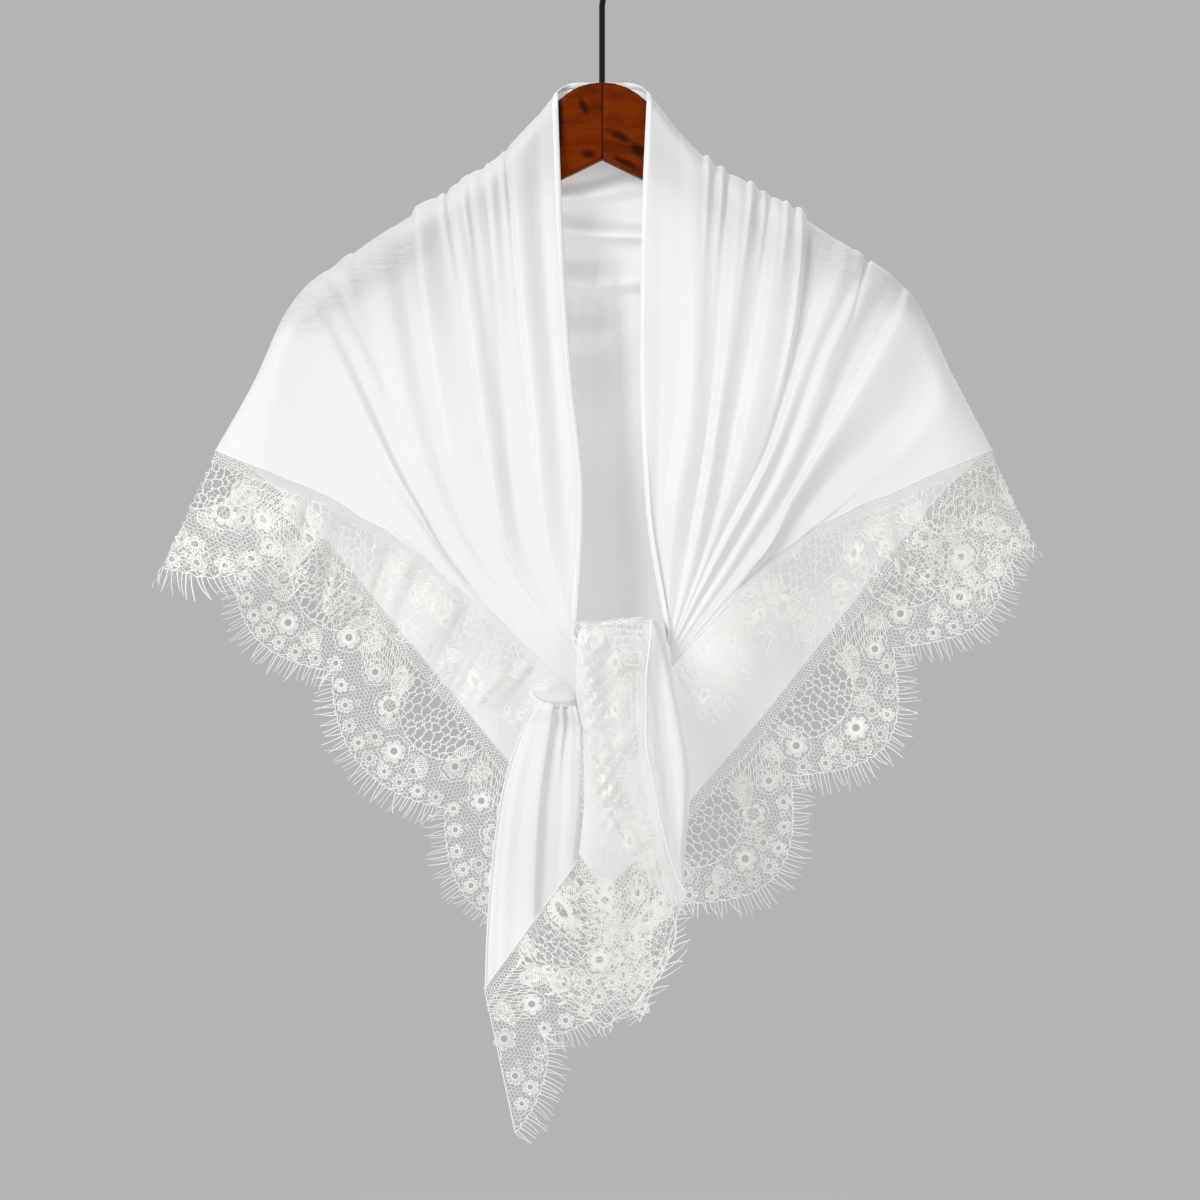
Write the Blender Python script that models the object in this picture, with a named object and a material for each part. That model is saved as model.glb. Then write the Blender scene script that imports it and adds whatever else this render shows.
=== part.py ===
"""Lace-edged triangular headscarf, tied in front and hung on a wooden hanger.

Lengths in the tables are millimetres. The origin is the inside top of the hook,
+Z is up, -Y is the front of the garment, and X runs along the hanger's arms.
Heights in the cloth tables are measured from the crown of the wood.
"""
import math

import bmesh
import bpy
import numpy as np

MM = 0.001
CROWN_DROP = 114.0          # hook's inside top down to the crown of the wood

# Cloth and lace
CLOTH_WALL = 1.2
LACE_WALL = 1.0
SCALLOP_PITCH = 115.0       # one lobe of the lace edging along the seam
LACE_NOTCH = 40.0           # lace width between two lobes
LACE_PEAK = 74.0            # lace width at the middle of a lobe
LASH_REACH = 15.0           # free threads beyond the lace edge
KNOT_DEPTH = 40.0           # front panels stand this far forward at the knot

# Hanger
MITRE_GAP = 0.3
WIRE_RADIUS = 2.05
HOOK_RADIUS = 21.05         # to the middle of the wire
HOOK_END_ANGLE = 205.0
HOOK_BEND_DROP = 62.0       # the shank starts to bend sideways this far down
BORE_DEPTH = 18.0
BORE_CLEARANCE = 0.35

# Fold line of the shoulder and side: share across the panel, half width,
# height and the radius with which the cloth rolls over from front to back.
RIDGE = (
    # share  left_x  right_x  height   roll
    (0.00,   31.0,   31.3,    -5.0,   11.0),
    (0.18,   70.0,   70.0,   -52.0,   14.5),
    (0.42,  127.0,  131.0,   -88.5,   19.0),
    (0.60,  171.5,  176.0,  -118.0,   23.0),
    (0.72,  199.0,  203.0,  -137.0,   25.0),
    (0.80,  215.0,  217.0,  -157.0,   26.0),
    (0.90,  237.0,  241.0,  -204.0,   28.0),
    (1.00,  263.0,  265.5,  -250.0,   30.0),
)

# Middle of the back: share across the panel, depth and height.
BACK_RAIL = (
    # share  depth   height
    (0.00,   12.0,    -1.0),
    (0.30,   20.0,   -84.0),
    (0.60,   25.0,  -168.0),
    (0.80,   25.0,  -330.0),
    (1.00,   22.0,  -566.0),
)

# Lines that run down the front from the fold line to the knot: share across
# the panel, height at the knot, and how far from the middle each line lies at
# the quarters of its drop.
FRONT_LEFT = (
    # share  knot_z   first   quarter   half   third   last
    (0.00,  -379.0,  -31.0,   -27.0,   -21.3,  -12.9,  -17.5),
    (0.15,  -383.0,  -63.5,   -56.6,   -50.3,  -42.0,  -17.5),
    (0.34,  -389.0, -108.0,   -95.2,   -83.2,  -67.5,  -17.5),
    (0.42,  -392.0, -127.0,  -118.0,  -106.5,  -83.0,  -17.5),
    (0.67,  -402.0, -188.0,  -168.0,  -139.0,  -92.0,  -17.5),
    (0.85,  -409.0, -226.0,  -196.0,  -143.0,  -81.0,  -17.5),
    (1.00,  -414.0, -263.0,  -167.5,  -110.0,  -61.0,  -17.5),
)
FRONT_RIGHT = (
    # share  knot_z   first   quarter   half   third   last
    (0.00,  -379.0,   31.3,    27.0,    25.9,   29.4,   44.0),
    (0.13,  -380.0,   59.0,    56.5,    53.9,   44.5,   44.0),
    (0.24,  -382.0,   84.0,    78.0,    72.5,   60.5,   45.0),
    (0.36,  -385.0,  115.0,   105.0,    90.5,   73.5,   45.5),
    (0.44,  -387.0,  135.0,   128.0,   111.0,   79.5,   45.5),
    (0.52,  -389.0,  155.0,   138.0,   118.5,   85.5,   46.0),
    (0.60,  -391.0,  176.0,   157.0,   131.0,   93.0,   46.0),
    (0.74,  -394.0,  206.0,   182.0,   144.0,   99.0,   46.0),
    (0.86,  -396.0,  232.0,   207.0,   151.0,   90.0,   46.0),
    (1.00,  -397.0,  265.5,   178.0,   113.0,   79.0,   46.0),
)

# Pleats: share across the panel, half width as a share, side to which the
# crest leans, and rise of the crest on the back, fold line, front and knot.
PLEATS_LEFT = (
    # share  half   lean   back  ridge  front  knot
    (0.035,  0.035,  0.2,   0.0,   0.5,   2.0,   3.0),
    (0.110,  0.045, -0.6,   0.5,   3.0,   5.0,   4.0),
    (0.190,  0.035,  0.5,   1.0,   5.0,   4.0,   3.0),
    (0.255,  0.035,  0.3,   1.0,   4.5,   3.5,   3.0),
    (0.325,  0.035, -0.5,   1.0,   5.0,   6.0,   4.0),
    (0.405,  0.040, -0.6,   1.0,   5.0,   6.0,   4.0),
    (0.520,  0.060,  0.2,   0.5,   0.5,   3.5,   4.0),
    (0.650,  0.070, -0.2,   0.5,   0.5,   5.0,   5.0),
    (0.800,  0.070,  0.0,   0.5,   0.5,   5.0,   5.0),
    (0.930,  0.060,  0.0,   0.0,   0.0,   3.0,   4.0),
)
PLEATS_RIGHT = (
    # share  half   lean   back  ridge  front  knot
    (0.040,  0.040,  0.2,   0.0,   0.5,   2.0,   3.0),
    (0.125,  0.040,  0.2,   0.5,   2.0,   4.0,   3.0),
    (0.200,  0.035,  0.5,   1.0,   5.0,   6.0,   4.0),
    (0.270,  0.033,  0.3,   1.0,   5.0,   5.0,   4.0),
    (0.335,  0.033,  0.3,   1.0,   5.0,   5.0,   3.0),
    (0.415,  0.040,  0.5,   1.0,   5.5,   6.0,   4.0),
    (0.530,  0.055,  0.2,   0.5,   0.5,   4.5,   4.0),
    (0.640,  0.055, -0.3,   0.5,   2.0,   5.0,   5.0),
    (0.760,  0.060, -0.4,   0.5,   1.5,   6.5,   5.0),
    (0.900,  0.070,  0.0,   0.0,   0.0,   3.0,   4.0),
)

# Folds that hang across the upper back: share, half width and rise inward.
COWL_FOLDS = (
    # share  half    rise
    (0.255,  0.040,   5.0),
    (0.360,  0.045,   7.0),
    (0.500,  0.050,   4.5),
    (0.640,  0.060,   2.5),
)

# Curve of the back between the side and the middle: power at the seam, lift.
BACK_CURVE = {-1: (0.87, 14.0), 1: (1.07, 10.0)}
SHOULDER_POWER = 1.8        # the same power near the neck, where the back sags

# Direction in which the side fold runs on down through the lace.
SIDE_FOLD = {-1: (-0.417, -0.909), 1: (0.400, -0.917)}

# First notch of the scallops, along the seam from the side fold to the back.
FIRST_NOTCH = {-1: 45.0, 1: 38.0}

# Front lace: seam share, sway of the hang to the side, shortening, ruffle.
FRONT_LACE = (
    # share   sway   length  ruffle
    (0.00,    0.00,   1.00,    0.0),
    (0.20,    0.02,   1.00,    9.0),
    (0.45,   -0.10,   0.92,   10.0),
    (0.70,   -0.25,   0.80,    5.0),
    (1.00,   -0.45,   0.55,    1.0),
)

# Short end that comes over the knot and falls in front: rows from behind the
# knot, over it and down.
OVER_TAIL = (
    # height   depth   left   right
    (-375.0,  -27.0,  -10.0,   35.0),
    (-366.5,  -34.0,  -11.0,   36.5),
    (-366.0,  -46.0,  -12.5,   38.0),
    (-378.0,  -55.0,  -16.5,   42.0),
    (-412.0,  -58.0,  -17.5,   50.0),
    (-440.0,  -58.0,  -12.0,   55.5),
    (-468.0,  -57.0,   -7.0,   59.0),
    (-500.0,  -56.0,    7.0,   57.5),
    (-520.0,  -55.0,   20.0,   55.0),
    (-545.0,  -54.0,   38.0,   54.5),
    (-560.0,  -53.5,   48.5,   51.5),
)
OVER_FOLDS = ((0.18, 0.16, 2.5), (0.50, 0.16, 3.0), (0.84, 0.15, 4.0))

# Lace of that end, which lies on it and hangs below.
OVER_LACE = (
    # height   depth   left   right
    (-370.0,  -57.0,  -15.0,   28.0),
    (-380.0,  -62.5,  -16.5,   26.0),
    (-412.0,  -64.5,  -17.0,   20.0),
    (-440.0,  -64.5,  -13.0,   14.0),
    (-468.0,  -64.0,   -8.0,   15.0),
    (-500.0,  -63.0,   -6.0,   24.0),
    (-530.0,  -62.0,   -5.0,   36.0),
    (-560.0,  -60.5,   -4.0,   47.0),
    (-585.0,  -58.5,    0.0,   48.5),
    (-605.0,  -57.0,    4.0,   44.0),
    (-625.0,  -56.0,    9.0,   36.0),
)
OVER_LACE_FOLDS = ((0.25, 0.22, 2.5), (0.75, 0.22, 2.5))

# Long end that leaves the knot to the left: the hem side and the seam side.
UNDER_TAIL = (
    # hem_x   hem_z   seam_x   seam_z   depth
    (-20.5,  -417.5,  -20.5,  -426.0,  -49.0),
    (-33.0,  -412.5,  -21.0,  -432.0,  -52.0),
    (-42.5,  -419.0,  -19.5,  -440.0,  -53.5),
    (-53.0,  -443.0,  -19.5,  -456.0,  -53.5),
    (-64.5,  -468.0,  -21.5,  -474.0,  -53.0),
    (-71.5,  -505.0,  -20.5,  -492.0,  -52.0),
    (-75.5,  -542.0,  -19.5,  -507.0,  -50.5),
    (-77.5,  -580.0,  -19.0,  -520.0,  -49.0),
    (-78.5,  -612.0,  -18.5,  -530.0,  -48.0),
)
UNDER_FOLDS = ((0.20, 0.18, 3.0), (0.52, 0.15, 4.0), (0.82, 0.16, 4.0))

# Lace below its slanting seam: share along the seam and the hang of the edge.
UNDER_LACE = (
    # share   hang_x   hang_z
    (0.00,    17.5,    -90.0),
    (0.12,    13.0,    -86.0),
    (0.30,     8.0,    -74.0),
    (0.42,     7.0,    -62.0),
    (0.55,     9.0,    -74.0),
    (0.75,    16.0,    -86.0),
    (0.90,    22.0,    -90.0),
    (1.00,    20.0,    -80.0),
)

# Gathered cloth inside the knot: rings from left to right.
KNOT_RINGS = (
    # along   height   half_tall   half_deep
    (-15.5,  -400.0,    9.0,        5.0),
    (-10.0,  -398.0,   17.0,        8.5),
    (0.0,    -397.0,   21.0,       10.0),
    (14.0,   -395.5,   22.5,       10.5),
    (28.0,   -392.0,   20.5,       10.0),
    (37.0,   -389.0,   15.0,        8.0),
    (42.0,   -388.0,    8.0,        5.0),
)

# Wooden arm: distance from the middle, top, underside and half thickness.
ARM = (
    # along    top     under   half_thick
    (0.0,      0.0,   -52.4,    7.0),
    (8.0,     -0.7,   -56.4,    7.0),
    (16.0,    -2.9,   -60.4,    7.0),
    (24.0,    -7.8,   -64.2,    7.2),
    (32.0,   -14.5,   -68.2,    7.5),
    (50.0,   -38.0,   -81.0,    8.2),
    (70.0,   -60.0,   -97.0,    9.0),
    (100.0,  -79.0,  -117.0,   10.0),
    (134.0,  -99.0,  -138.0,   11.0),
    (170.0, -124.0,  -160.0,   12.5),
    (192.0, -141.0,  -174.0,   13.5),
    (203.0, -151.0,  -178.0,   13.0),
    (209.0, -160.0,  -179.0,   10.5),
)

# Columns of the back beside the middles of its folds
BACK_SHARES = (0.0, 0.07, 0.14, 0.20, 0.30, 0.41, 0.45, 0.55, 0.60, 0.70, 0.78, 0.85, 0.92, 1.0)

# Rows and columns of the panels
FIRST_ROW = 0.0012          # leaves the gap between front and back at the fold
FRONT_ROWS = 15
BACK_ROWS = 15
LACE_ROWS = 2
LACE_START = 1.8            # keeps the gap where pleats tilt the cloth's edge
LACE_NEAR_FOLD = 60.0       # within this distance the lace turns round the side fold
LACE_TURN_RADIUS = 28.0
LACE_SETTLING = 30.0        # the lace leaves the cloth's depth over this distance
RUFFLE_WAVE = 19.0          # along the seam, per radian of the front lace's waves
RUFFLE_DRIFT = 47.0         # slower wave that makes the first one uneven
SEAM_WINDOW = 6.0           # the seam's direction is taken over this far each way
FRONT_LACE_FREE = 0.25      # share of the seam over which the front lace turns to hang
FRONT_LACE_END = 0.93
FRINGE_START = 0.9
MITRE_START = 0.93          # the back lace turns the corner from here
MITRE_LENGTHENING = 0.12
CORNER_SHARES = (0.94, 0.97, 0.985)
SECTION_POINTS = 16


def slopes(values, steps):
    """Slopes that keep a curve through the values free of overshoot."""
    rise = np.diff(values, axis=0) / steps
    before, after = rise[:-1], rise[1:]
    total = before + after
    total = np.where(np.abs(total) < 1e-9, 1.0, total)
    middle = np.where(before * after > 0.0, 2.0 * before * after / total, 0.0)
    return np.concatenate([rise[:1], middle, rise[-1:]])


def smooth(table, column, at):
    """Smooth curve through one column of a table, against its first column."""
    keys = np.array([row[0] for row in table])
    values = np.array([row[column] for row in table])
    steps = np.diff(keys)
    slope = slopes(values, steps)
    cell = np.clip(np.searchsorted(keys, at, side="right") - 1, 0, len(steps) - 1)
    part = (at - keys[cell]) / steps[cell]
    return hermite(values[cell], values[cell + 1], slope[cell], slope[cell + 1], steps[cell], part)


def hermite(first, last, slope_first, slope_last, step, part):
    """Cubic between two values with the given slopes."""
    part2 = part * part
    part3 = part2 * part
    return (first * (2.0 * part3 - 3.0 * part2 + 1.0)
            + slope_first * step * (part3 - 2.0 * part2 + part)
            + last * (3.0 * part2 - 2.0 * part3)
            + slope_last * step * (part3 - part2))


def along_quarters(columns, share):
    """Smooth curve through five values a quarter apart, one curve per point."""
    slope = slopes(columns, 0.25)
    cell = np.clip((share * 4.0).astype(int), 0, 3)
    part = share * 4.0 - cell
    pick = np.arange(share.size)
    return hermite(columns[cell, pick], columns[cell + 1, pick],
                   slope[cell, pick], slope[cell + 1, pick], 0.25, part)


def ease(value):
    """Smooth step from 0 to 1."""
    value = np.clip(value, 0.0, 1.0)
    return value * value * (3.0 - 2.0 * value)


def crest(share, centre, half, lean=0.0):
    """Rounded crest, 1 at its top and 0 from half a width away."""
    part = np.clip((share - centre) / half, -1.0, 1.0)
    part = part + lean * 0.5 * (1.0 - part * part)
    return (1.0 - np.clip(part * part, 0.0, 1.0)) ** 2


def ridge_x(side, share):
    """Sideways place of the fold line on the left (-1) or right (1)."""
    return side * smooth(RIDGE, 1 if side < 0 else 2, share)


def roll_over(distance, radius):
    """Depth and in-plane advance of cloth that rolls off the fold line."""
    angle = np.minimum(distance / radius, math.pi / 2)
    beyond = np.maximum(distance - radius * math.pi / 2, 0.0)
    return radius * np.sin(angle), radius * (1.0 - np.cos(angle)) + beyond, angle


def pleat_rise(side, share, column_back, blend):
    """Rise of the pleats at a share across, between two columns of the table."""
    rise = np.zeros_like(share)
    for row in PLEATS_LEFT if side < 0 else PLEATS_RIGHT:
        height = row[column_back] * (1.0 - blend) + row[column_back + 1] * blend
        rise += height * crest(share, row[0], row[1], row[2])
    return rise


def front_point(side, share, down):
    """Points of a front panel; down runs from 0 at the fold line to 1."""
    table = FRONT_LEFT if side < 0 else FRONT_RIGHT
    top_x = ridge_x(side, share)
    top_z = smooth(RIDGE, 3, share)
    radius = smooth(RIDGE, 4, share)
    knot_z = smooth(table, 1, share)
    columns = np.stack([smooth(table, column, share) for column in (2, 3, 4, 5, 6)])
    columns[0] = top_x
    length = np.hypot(top_x - columns[4], top_z - knot_z)
    reach = length - radius + radius * math.pi / 2
    depth, advance, angle = roll_over(down * reach, radius)
    part = np.clip(advance / length, 0.0, 1.0)
    x = along_quarters(columns, part)
    z = top_z + (knot_z - top_z) * part
    y = -depth - (KNOT_DEPTH - radius) * part ** 1.2
    upper = pleat_rise(side, share, 4, ease(part * 2.5))
    lower = pleat_rise(side, share, 5, ease(part * 2.0 - 1.0))
    rise = np.where(part < 0.5, upper, lower)
    return np.stack([x, y - rise * np.sin(angle), z + rise * np.cos(angle)], axis=-1)


def back_point(side, share, inward):
    """Points of the back; inward runs from 0 at the fold line to 1."""
    top_x = ridge_x(side, share)
    top_z = smooth(RIDGE, 3, share)
    radius = smooth(RIDGE, 4, share)
    rail_y = smooth(BACK_RAIL, 1, share)
    rail_z = smooth(BACK_RAIL, 2, share)
    power_end, lift = BACK_CURVE[side]
    power = SHOULDER_POWER + (power_end - SHOULDER_POWER) * ease((share - 0.45) / 0.55)
    length = np.hypot(top_x, top_z - rail_z)
    reach = length - radius + radius * math.pi / 2
    depth, advance, angle = roll_over(inward * reach, radius)
    part = np.clip(advance / length, 0.0, 1.0)
    left = 1.0 - part
    raised = lift * np.sin(math.pi * left ** 3) * ease((share - 0.5) / 0.5)
    z = rail_z + (top_z - rail_z) * left ** power + raised
    y = depth + (rail_y - radius) * ease(part)
    rise = pleat_rise(side, share, 3, left ** 3) * left
    for centre, half, height in COWL_FOLDS:
        rise -= height * crest(share, centre, half, 0.6) * ease(part * 1.6)
    return np.stack([top_x * left, y + rise * np.sin(angle), z + rise * np.cos(angle)], axis=-1)


def panel_shares(side):
    """Columns of a panel: its edges, and the crest and foot of each pleat."""
    table = PLEATS_LEFT if side < 0 else PLEATS_RIGHT
    marks = [0.0, 1.0]
    for row in table:
        marks += [row[0] - row[1] * 0.95, row[0] - row[2] * row[1] * 0.4]
    return np.array(sorted(marks))


def grid_mesh(name, points):
    """Quad grid through rows of points, given in millimetres."""
    rows, columns = points.shape[:2]
    raised = points.reshape(-1, 3) - np.array([0.0, 0.0, CROWN_DROP])
    faces = []
    for row in range(rows - 1):
        for column in range(columns - 1):
            first = row * columns + column
            faces.append((first, first + 1, first + columns + 1, first + columns))
    mesh = bpy.data.meshes.new(name)
    mesh.from_pydata((raised * MM).tolist(), [], faces)
    mesh.validate()
    return mesh


def add_object(name, mesh, material):
    """One named object with its own material, shaded smooth."""
    mesh.materials.append(material)
    mesh.shade_smooth()
    piece = bpy.data.objects.new(name, mesh)
    bpy.context.scene.collection.objects.link(piece)
    return piece


def add_wall(name, points, thickness, material):
    """Closed wall around a grid of points."""
    piece = add_object(name, grid_mesh(name, points), material)
    wall = piece.modifiers.new("Wall", "SOLIDIFY")
    wall.thickness = thickness * MM
    wall.offset = 0.0
    wall.use_even_offset = False
    return piece


def make_material(name, colour, roughness, metallic=0.0):
    """Plain Principled material."""
    material = bpy.data.materials.new(name)
    material.use_nodes = True
    shader = material.node_tree.nodes["Principled BSDF"]
    shader.inputs["Base Color"].default_value = (*colour, 1.0)
    shader.inputs["Roughness"].default_value = roughness
    shader.inputs["Metallic"].default_value = metallic
    return material


def front_panel(side, material):
    """One front, from the shoulder fold to the knot."""
    shares = panel_shares(side)
    share, down = np.meshgrid(shares, front_rows())
    points = front_point(side, share.ravel(), down.ravel()).reshape(*share.shape, 3)
    add_wall("front_left" if side < 0 else "front_right", points, CLOTH_WALL, material)


def back_panel(material):
    """The whole back, from one side fold to the other."""
    halves = []
    shares = np.sort(np.concatenate([BACK_SHARES, [row[0] for row in COWL_FOLDS[:3]]]))
    for side in (-1, 1):
        share, inward = np.meshgrid(shares, back_rows())
        halves.append(back_point(side, share.ravel(), inward.ravel()).reshape(*share.shape, 3))
    rows = np.concatenate([halves[0], halves[1][::-1][1:]])
    add_wall("back", rows, CLOTH_WALL, material)


def front_rows():
    """Places of a front panel's rows down from the fold line."""
    return np.concatenate([[FIRST_ROW, 0.02, 0.045, 0.075, 0.11], np.linspace(0.17, 1.0, FRONT_ROWS - 5)])


def back_rows():
    """Places of the back's rows in from the fold line."""
    return np.concatenate([[FIRST_ROW, 0.03, 0.06, 0.10, 0.15], np.linspace(0.22, 1.0, BACK_ROWS - 5)])


def seam_curve(side, layer):
    """Points of the seam from the side fold, and the length along it."""
    run = front_rows() if layer == "front" else back_rows()
    edge = np.ones(len(run))
    points = front_point(side, edge, run) if layer == "front" else back_point(side, edge, run)
    flat = points[:, [0, 2]]
    length = np.concatenate([[0.0], np.cumsum(np.hypot(*np.diff(flat, axis=0).T))])
    return points, length


def lace_width(side, along, corner):
    """Width of the scalloped lace along the seam; a lobe rounds the corner."""
    part = ((along - FIRST_NOTCH[side]) / SCALLOP_PITCH) % 1.0
    width = LACE_NOTCH + (LACE_PEAK - LACE_NOTCH) * np.sqrt(np.sin(math.pi * part))
    return width + (LACE_PEAK - width) * corner


def turned_outward(way, fold):
    """Normals of directions in the plane of the garment, on the fold's side."""
    normals = np.stack([way[..., 1], -way[..., 0]], axis=-1)
    return normals * math.copysign(1.0, float(np.sum(normals * fold, axis=-1).flat[0]))


def unit(way):
    """The same directions at length 1."""
    return way / np.hypot(way[..., 0], way[..., 1])[..., None]


def lace_point(side, layer, share, out):
    """Points of a lace band: share along the seam, out in millimetres from it."""
    points, length = seam_curve(side, layer)
    fold = np.array(SIDE_FOLD[side])
    start_way = unit((points[2] - points[0])[[0, 2]])
    start_normal = turned_outward(start_way, fold)
    slant = np.dot(start_way, fold) / np.dot(start_normal, fold)
    along = share * length[-1] + slant * out * (1.0 - share) ** 3
    place = np.stack([np.interp(along, length, points[:, k]) for k in range(3)], axis=-1)
    place[..., [0, 2]] += np.minimum(along, 0.0)[..., None] * start_way
    window = (np.clip(along, 0.0, None) + SEAM_WINDOW, np.clip(along, SEAM_WINDOW, None) - SEAM_WINDOW)
    ahead, behind = (np.stack([np.interp(at, length, points[:, k]) for k in (0, 2)], axis=-1)
                     for at in window)
    normals = turned_outward(unit(ahead - behind), fold)
    mitre = ease((share - MITRE_START) / (1.0 - MITRE_START))[..., None] if layer == "back" else 0.0
    normals = unit(normals * (1.0 - mitre) + np.array([0.0, -1.0]) * mitre)
    hang = normals * (1.0 + MITRE_LENGTHENING * mitre)
    lean = np.zeros_like(along)
    spread = np.maximum(out - LACE_START, 0.0)
    if layer == "front":
        sway = smooth(FRONT_LACE, 1, share)
        down = unit(np.stack([side * -sway, -np.ones_like(sway)], axis=-1))
        free = ease(share / FRONT_LACE_FREE)[..., None]
        hang = unit(normals * (1.0 - free) + down * free) * smooth(FRONT_LACE, 2, share)[..., None]
        wave = np.sin(along / RUFFLE_WAVE + 1.1 * np.sin(along / RUFFLE_DRIFT))
        lean = smooth(FRONT_LACE, 3, share) * (wave - 0.6) * ease(spread / LACE_PEAK)
    place[..., [0, 2]] += normals * LACE_START + hang * spread[..., None]
    from_fold = np.abs(place[..., 0] - points[0, 0] - (place[..., 2] - points[0, 2]) * fold[0] / fold[1])
    depth = roll_over(from_fold, LACE_TURN_RADIUS)[0] * (1.0 if layer == "back" else -1.0)
    near = ease(1.0 - from_fold / LACE_NEAR_FOLD) * ease(spread / LACE_SETTLING)
    place[..., 1] = place[..., 1] * (1.0 - near) + depth * near + lean
    return place, along


def lace_band(side, layer, material, fringe_material):
    """Scalloped lace wall on one stretch of the seam, and its fringe."""
    name = layer + ("_left" if side < 0 else "_right")
    length = seam_curve(side, layer)[1]
    shares = length / length[-1]
    shares = np.sort(np.concatenate([shares, (shares[1:] + shares[:-1]) / 2.0]))
    if layer == "back":
        shares = np.sort(np.concatenate([shares, CORNER_SHARES]))
    shares[0] = MITRE_GAP / length[-1]
    shares = shares[shares < FRONT_LACE_END] if layer == "front" else shares
    shares[-1] = min(shares[-1], 1.0 - MITRE_GAP / length[-1])
    width = np.full(len(shares), LACE_PEAK)
    corner = ease((shares - MITRE_START) / (1.0 - MITRE_START)) if layer == "back" else 0.0
    flat_sign = 1.0 if layer == "back" else -1.0
    for _ in range(4):
        along = lace_point(side, layer, shares, width)[1]
        width = lace_width(side, flat_sign * along, corner)
    rows = np.linspace(0.0, 1.0, LACE_ROWS + 1)
    outs = [LACE_START + (width - LACE_START) * row for row in rows]
    points = np.stack([lace_point(side, layer, shares, out)[0] for out in outs])
    add_wall("lace_" + name, points, LACE_WALL, material)
    edge = outs[-1]
    lashes = [edge + FRINGE_START, edge + LASH_REACH]
    points = np.stack([lace_point(side, layer, shares, out)[0] for out in lashes])
    add_wall("fringe_" + name, points, LACE_WALL, fringe_material)


def strip_points(rows, folds, columns=11):
    """Points of a falling end: rows of height, depth, left and right."""
    share = np.linspace(0.0, 1.0, columns)
    swell = sum(height * crest(share, centre, half) for centre, half, height in folds)
    points = []
    for index, (height, depth, left, right) in enumerate(rows):
        x = left + (right - left) * share
        opened = ease(index / 3.0) * min(1.0, (right - left) / 30.0)
        points.append(np.stack([x, depth - swell * opened, np.full(columns, height)], axis=-1))
    return np.stack(points)


def under_tail_points(columns=11):
    """Points of the long end, from the knot to its slanting seam."""
    share = np.linspace(0.0, 1.0, columns)
    swell = sum(height * crest(share, centre, half) for centre, half, height in UNDER_FOLDS)
    points = []
    for index, (hem_x, hem_z, seam_x, seam_z, depth) in enumerate(UNDER_TAIL):
        x = hem_x + (seam_x - hem_x) * share
        z = hem_z + (seam_z - hem_z) * share
        points.append(np.stack([x, depth - swell * ease(index / 3.0) + 3.0, z], axis=-1))
    return np.stack(points)


def fringe_around(name, edge, middle, material):
    """Fringe that stands out from a lace edge, away from a middle point."""
    away = edge - middle
    away[:, 1] = 0.0
    away /= np.linalg.norm(away, axis=1)[:, None]
    points = np.stack([edge + away * FRINGE_START, edge + away * LASH_REACH])
    add_wall(name, points, LACE_WALL, material)


def tail_over(cloth, lace, fringe):
    """The short end over the knot, its lace and its fringe."""
    add_wall("tail_over", strip_points(OVER_TAIL, OVER_FOLDS), CLOTH_WALL, cloth)
    points = strip_points(OVER_LACE, OVER_LACE_FOLDS, 7)
    add_wall("lace_tail_over", points, LACE_WALL, lace)
    edge = np.concatenate([points[6:-1, -1], points[-1, ::-1][::2], points[5:-1, 0][::-1]])
    middle = points[6:, 3].mean(axis=0)
    fringe_around("fringe_tail_over", edge, middle, fringe)


def tail_under(cloth, lace, fringe):
    """The long end at the left of the knot, its lace and its fringe."""
    body = under_tail_points()
    add_wall("tail_under", body, CLOTH_WALL, cloth)
    share = np.linspace(0.0, 1.0, body.shape[1])
    seam = body[-1]
    hang_x, hang_z = smooth(UNDER_LACE, 1, share), smooth(UNDER_LACE, 2, share)
    hang = np.stack([hang_x, np.zeros_like(share), hang_z], axis=-1)
    length = np.linalg.norm(hang, axis=1)[:, None]
    out = [LACE_START / length, 0.5, 1.0]
    points = np.stack([seam + hang * part for part in out])
    add_wall("lace_tail_under", points, LACE_WALL, lace)
    way = hang / length
    points = np.stack([points[-1] + way * FRINGE_START, points[-1] + way * LASH_REACH])
    add_wall("fringe_tail_under", points, LACE_WALL, fringe)


def loft_mesh(name, rings):
    """Closed body through rings of points, with a flat face at each end."""
    count = len(rings[0])
    points = np.concatenate(rings) - np.array([0.0, 0.0, CROWN_DROP])
    faces = [tuple(range(count))[::-1], tuple(range(len(points) - count, len(points)))]
    for ring in range(len(rings) - 1):
        for place in range(count):
            following = (place + 1) % count
            faces.append((ring * count + place, ring * count + following,
                          (ring + 1) * count + following, (ring + 1) * count + place))
    mesh = bpy.data.meshes.new(name)
    mesh.from_pydata((points * MM).tolist(), [], faces)
    work = bmesh.new()
    work.from_mesh(mesh)
    bmesh.ops.recalc_face_normals(work, faces=work.faces)
    work.to_mesh(mesh)
    work.free()
    return mesh


def knot(material):
    """The cloth gathered inside the knot."""
    turns = np.linspace(0.0, 2.0 * math.pi, 2 * SECTION_POINTS, endpoint=False)
    gather = 1.0 + 0.05 * np.cos(8.0 * turns)
    rings = []
    for along, height, half_tall, half_deep in KNOT_RINGS:
        y = -KNOT_DEPTH - 2.0 + half_deep * gather * np.cos(turns)
        z = height + half_tall * gather * np.sin(turns)
        rings.append(np.stack([np.full_like(turns, along), y, z], axis=-1))
    add_object("knot", loft_mesh("knot", rings), material)


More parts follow.
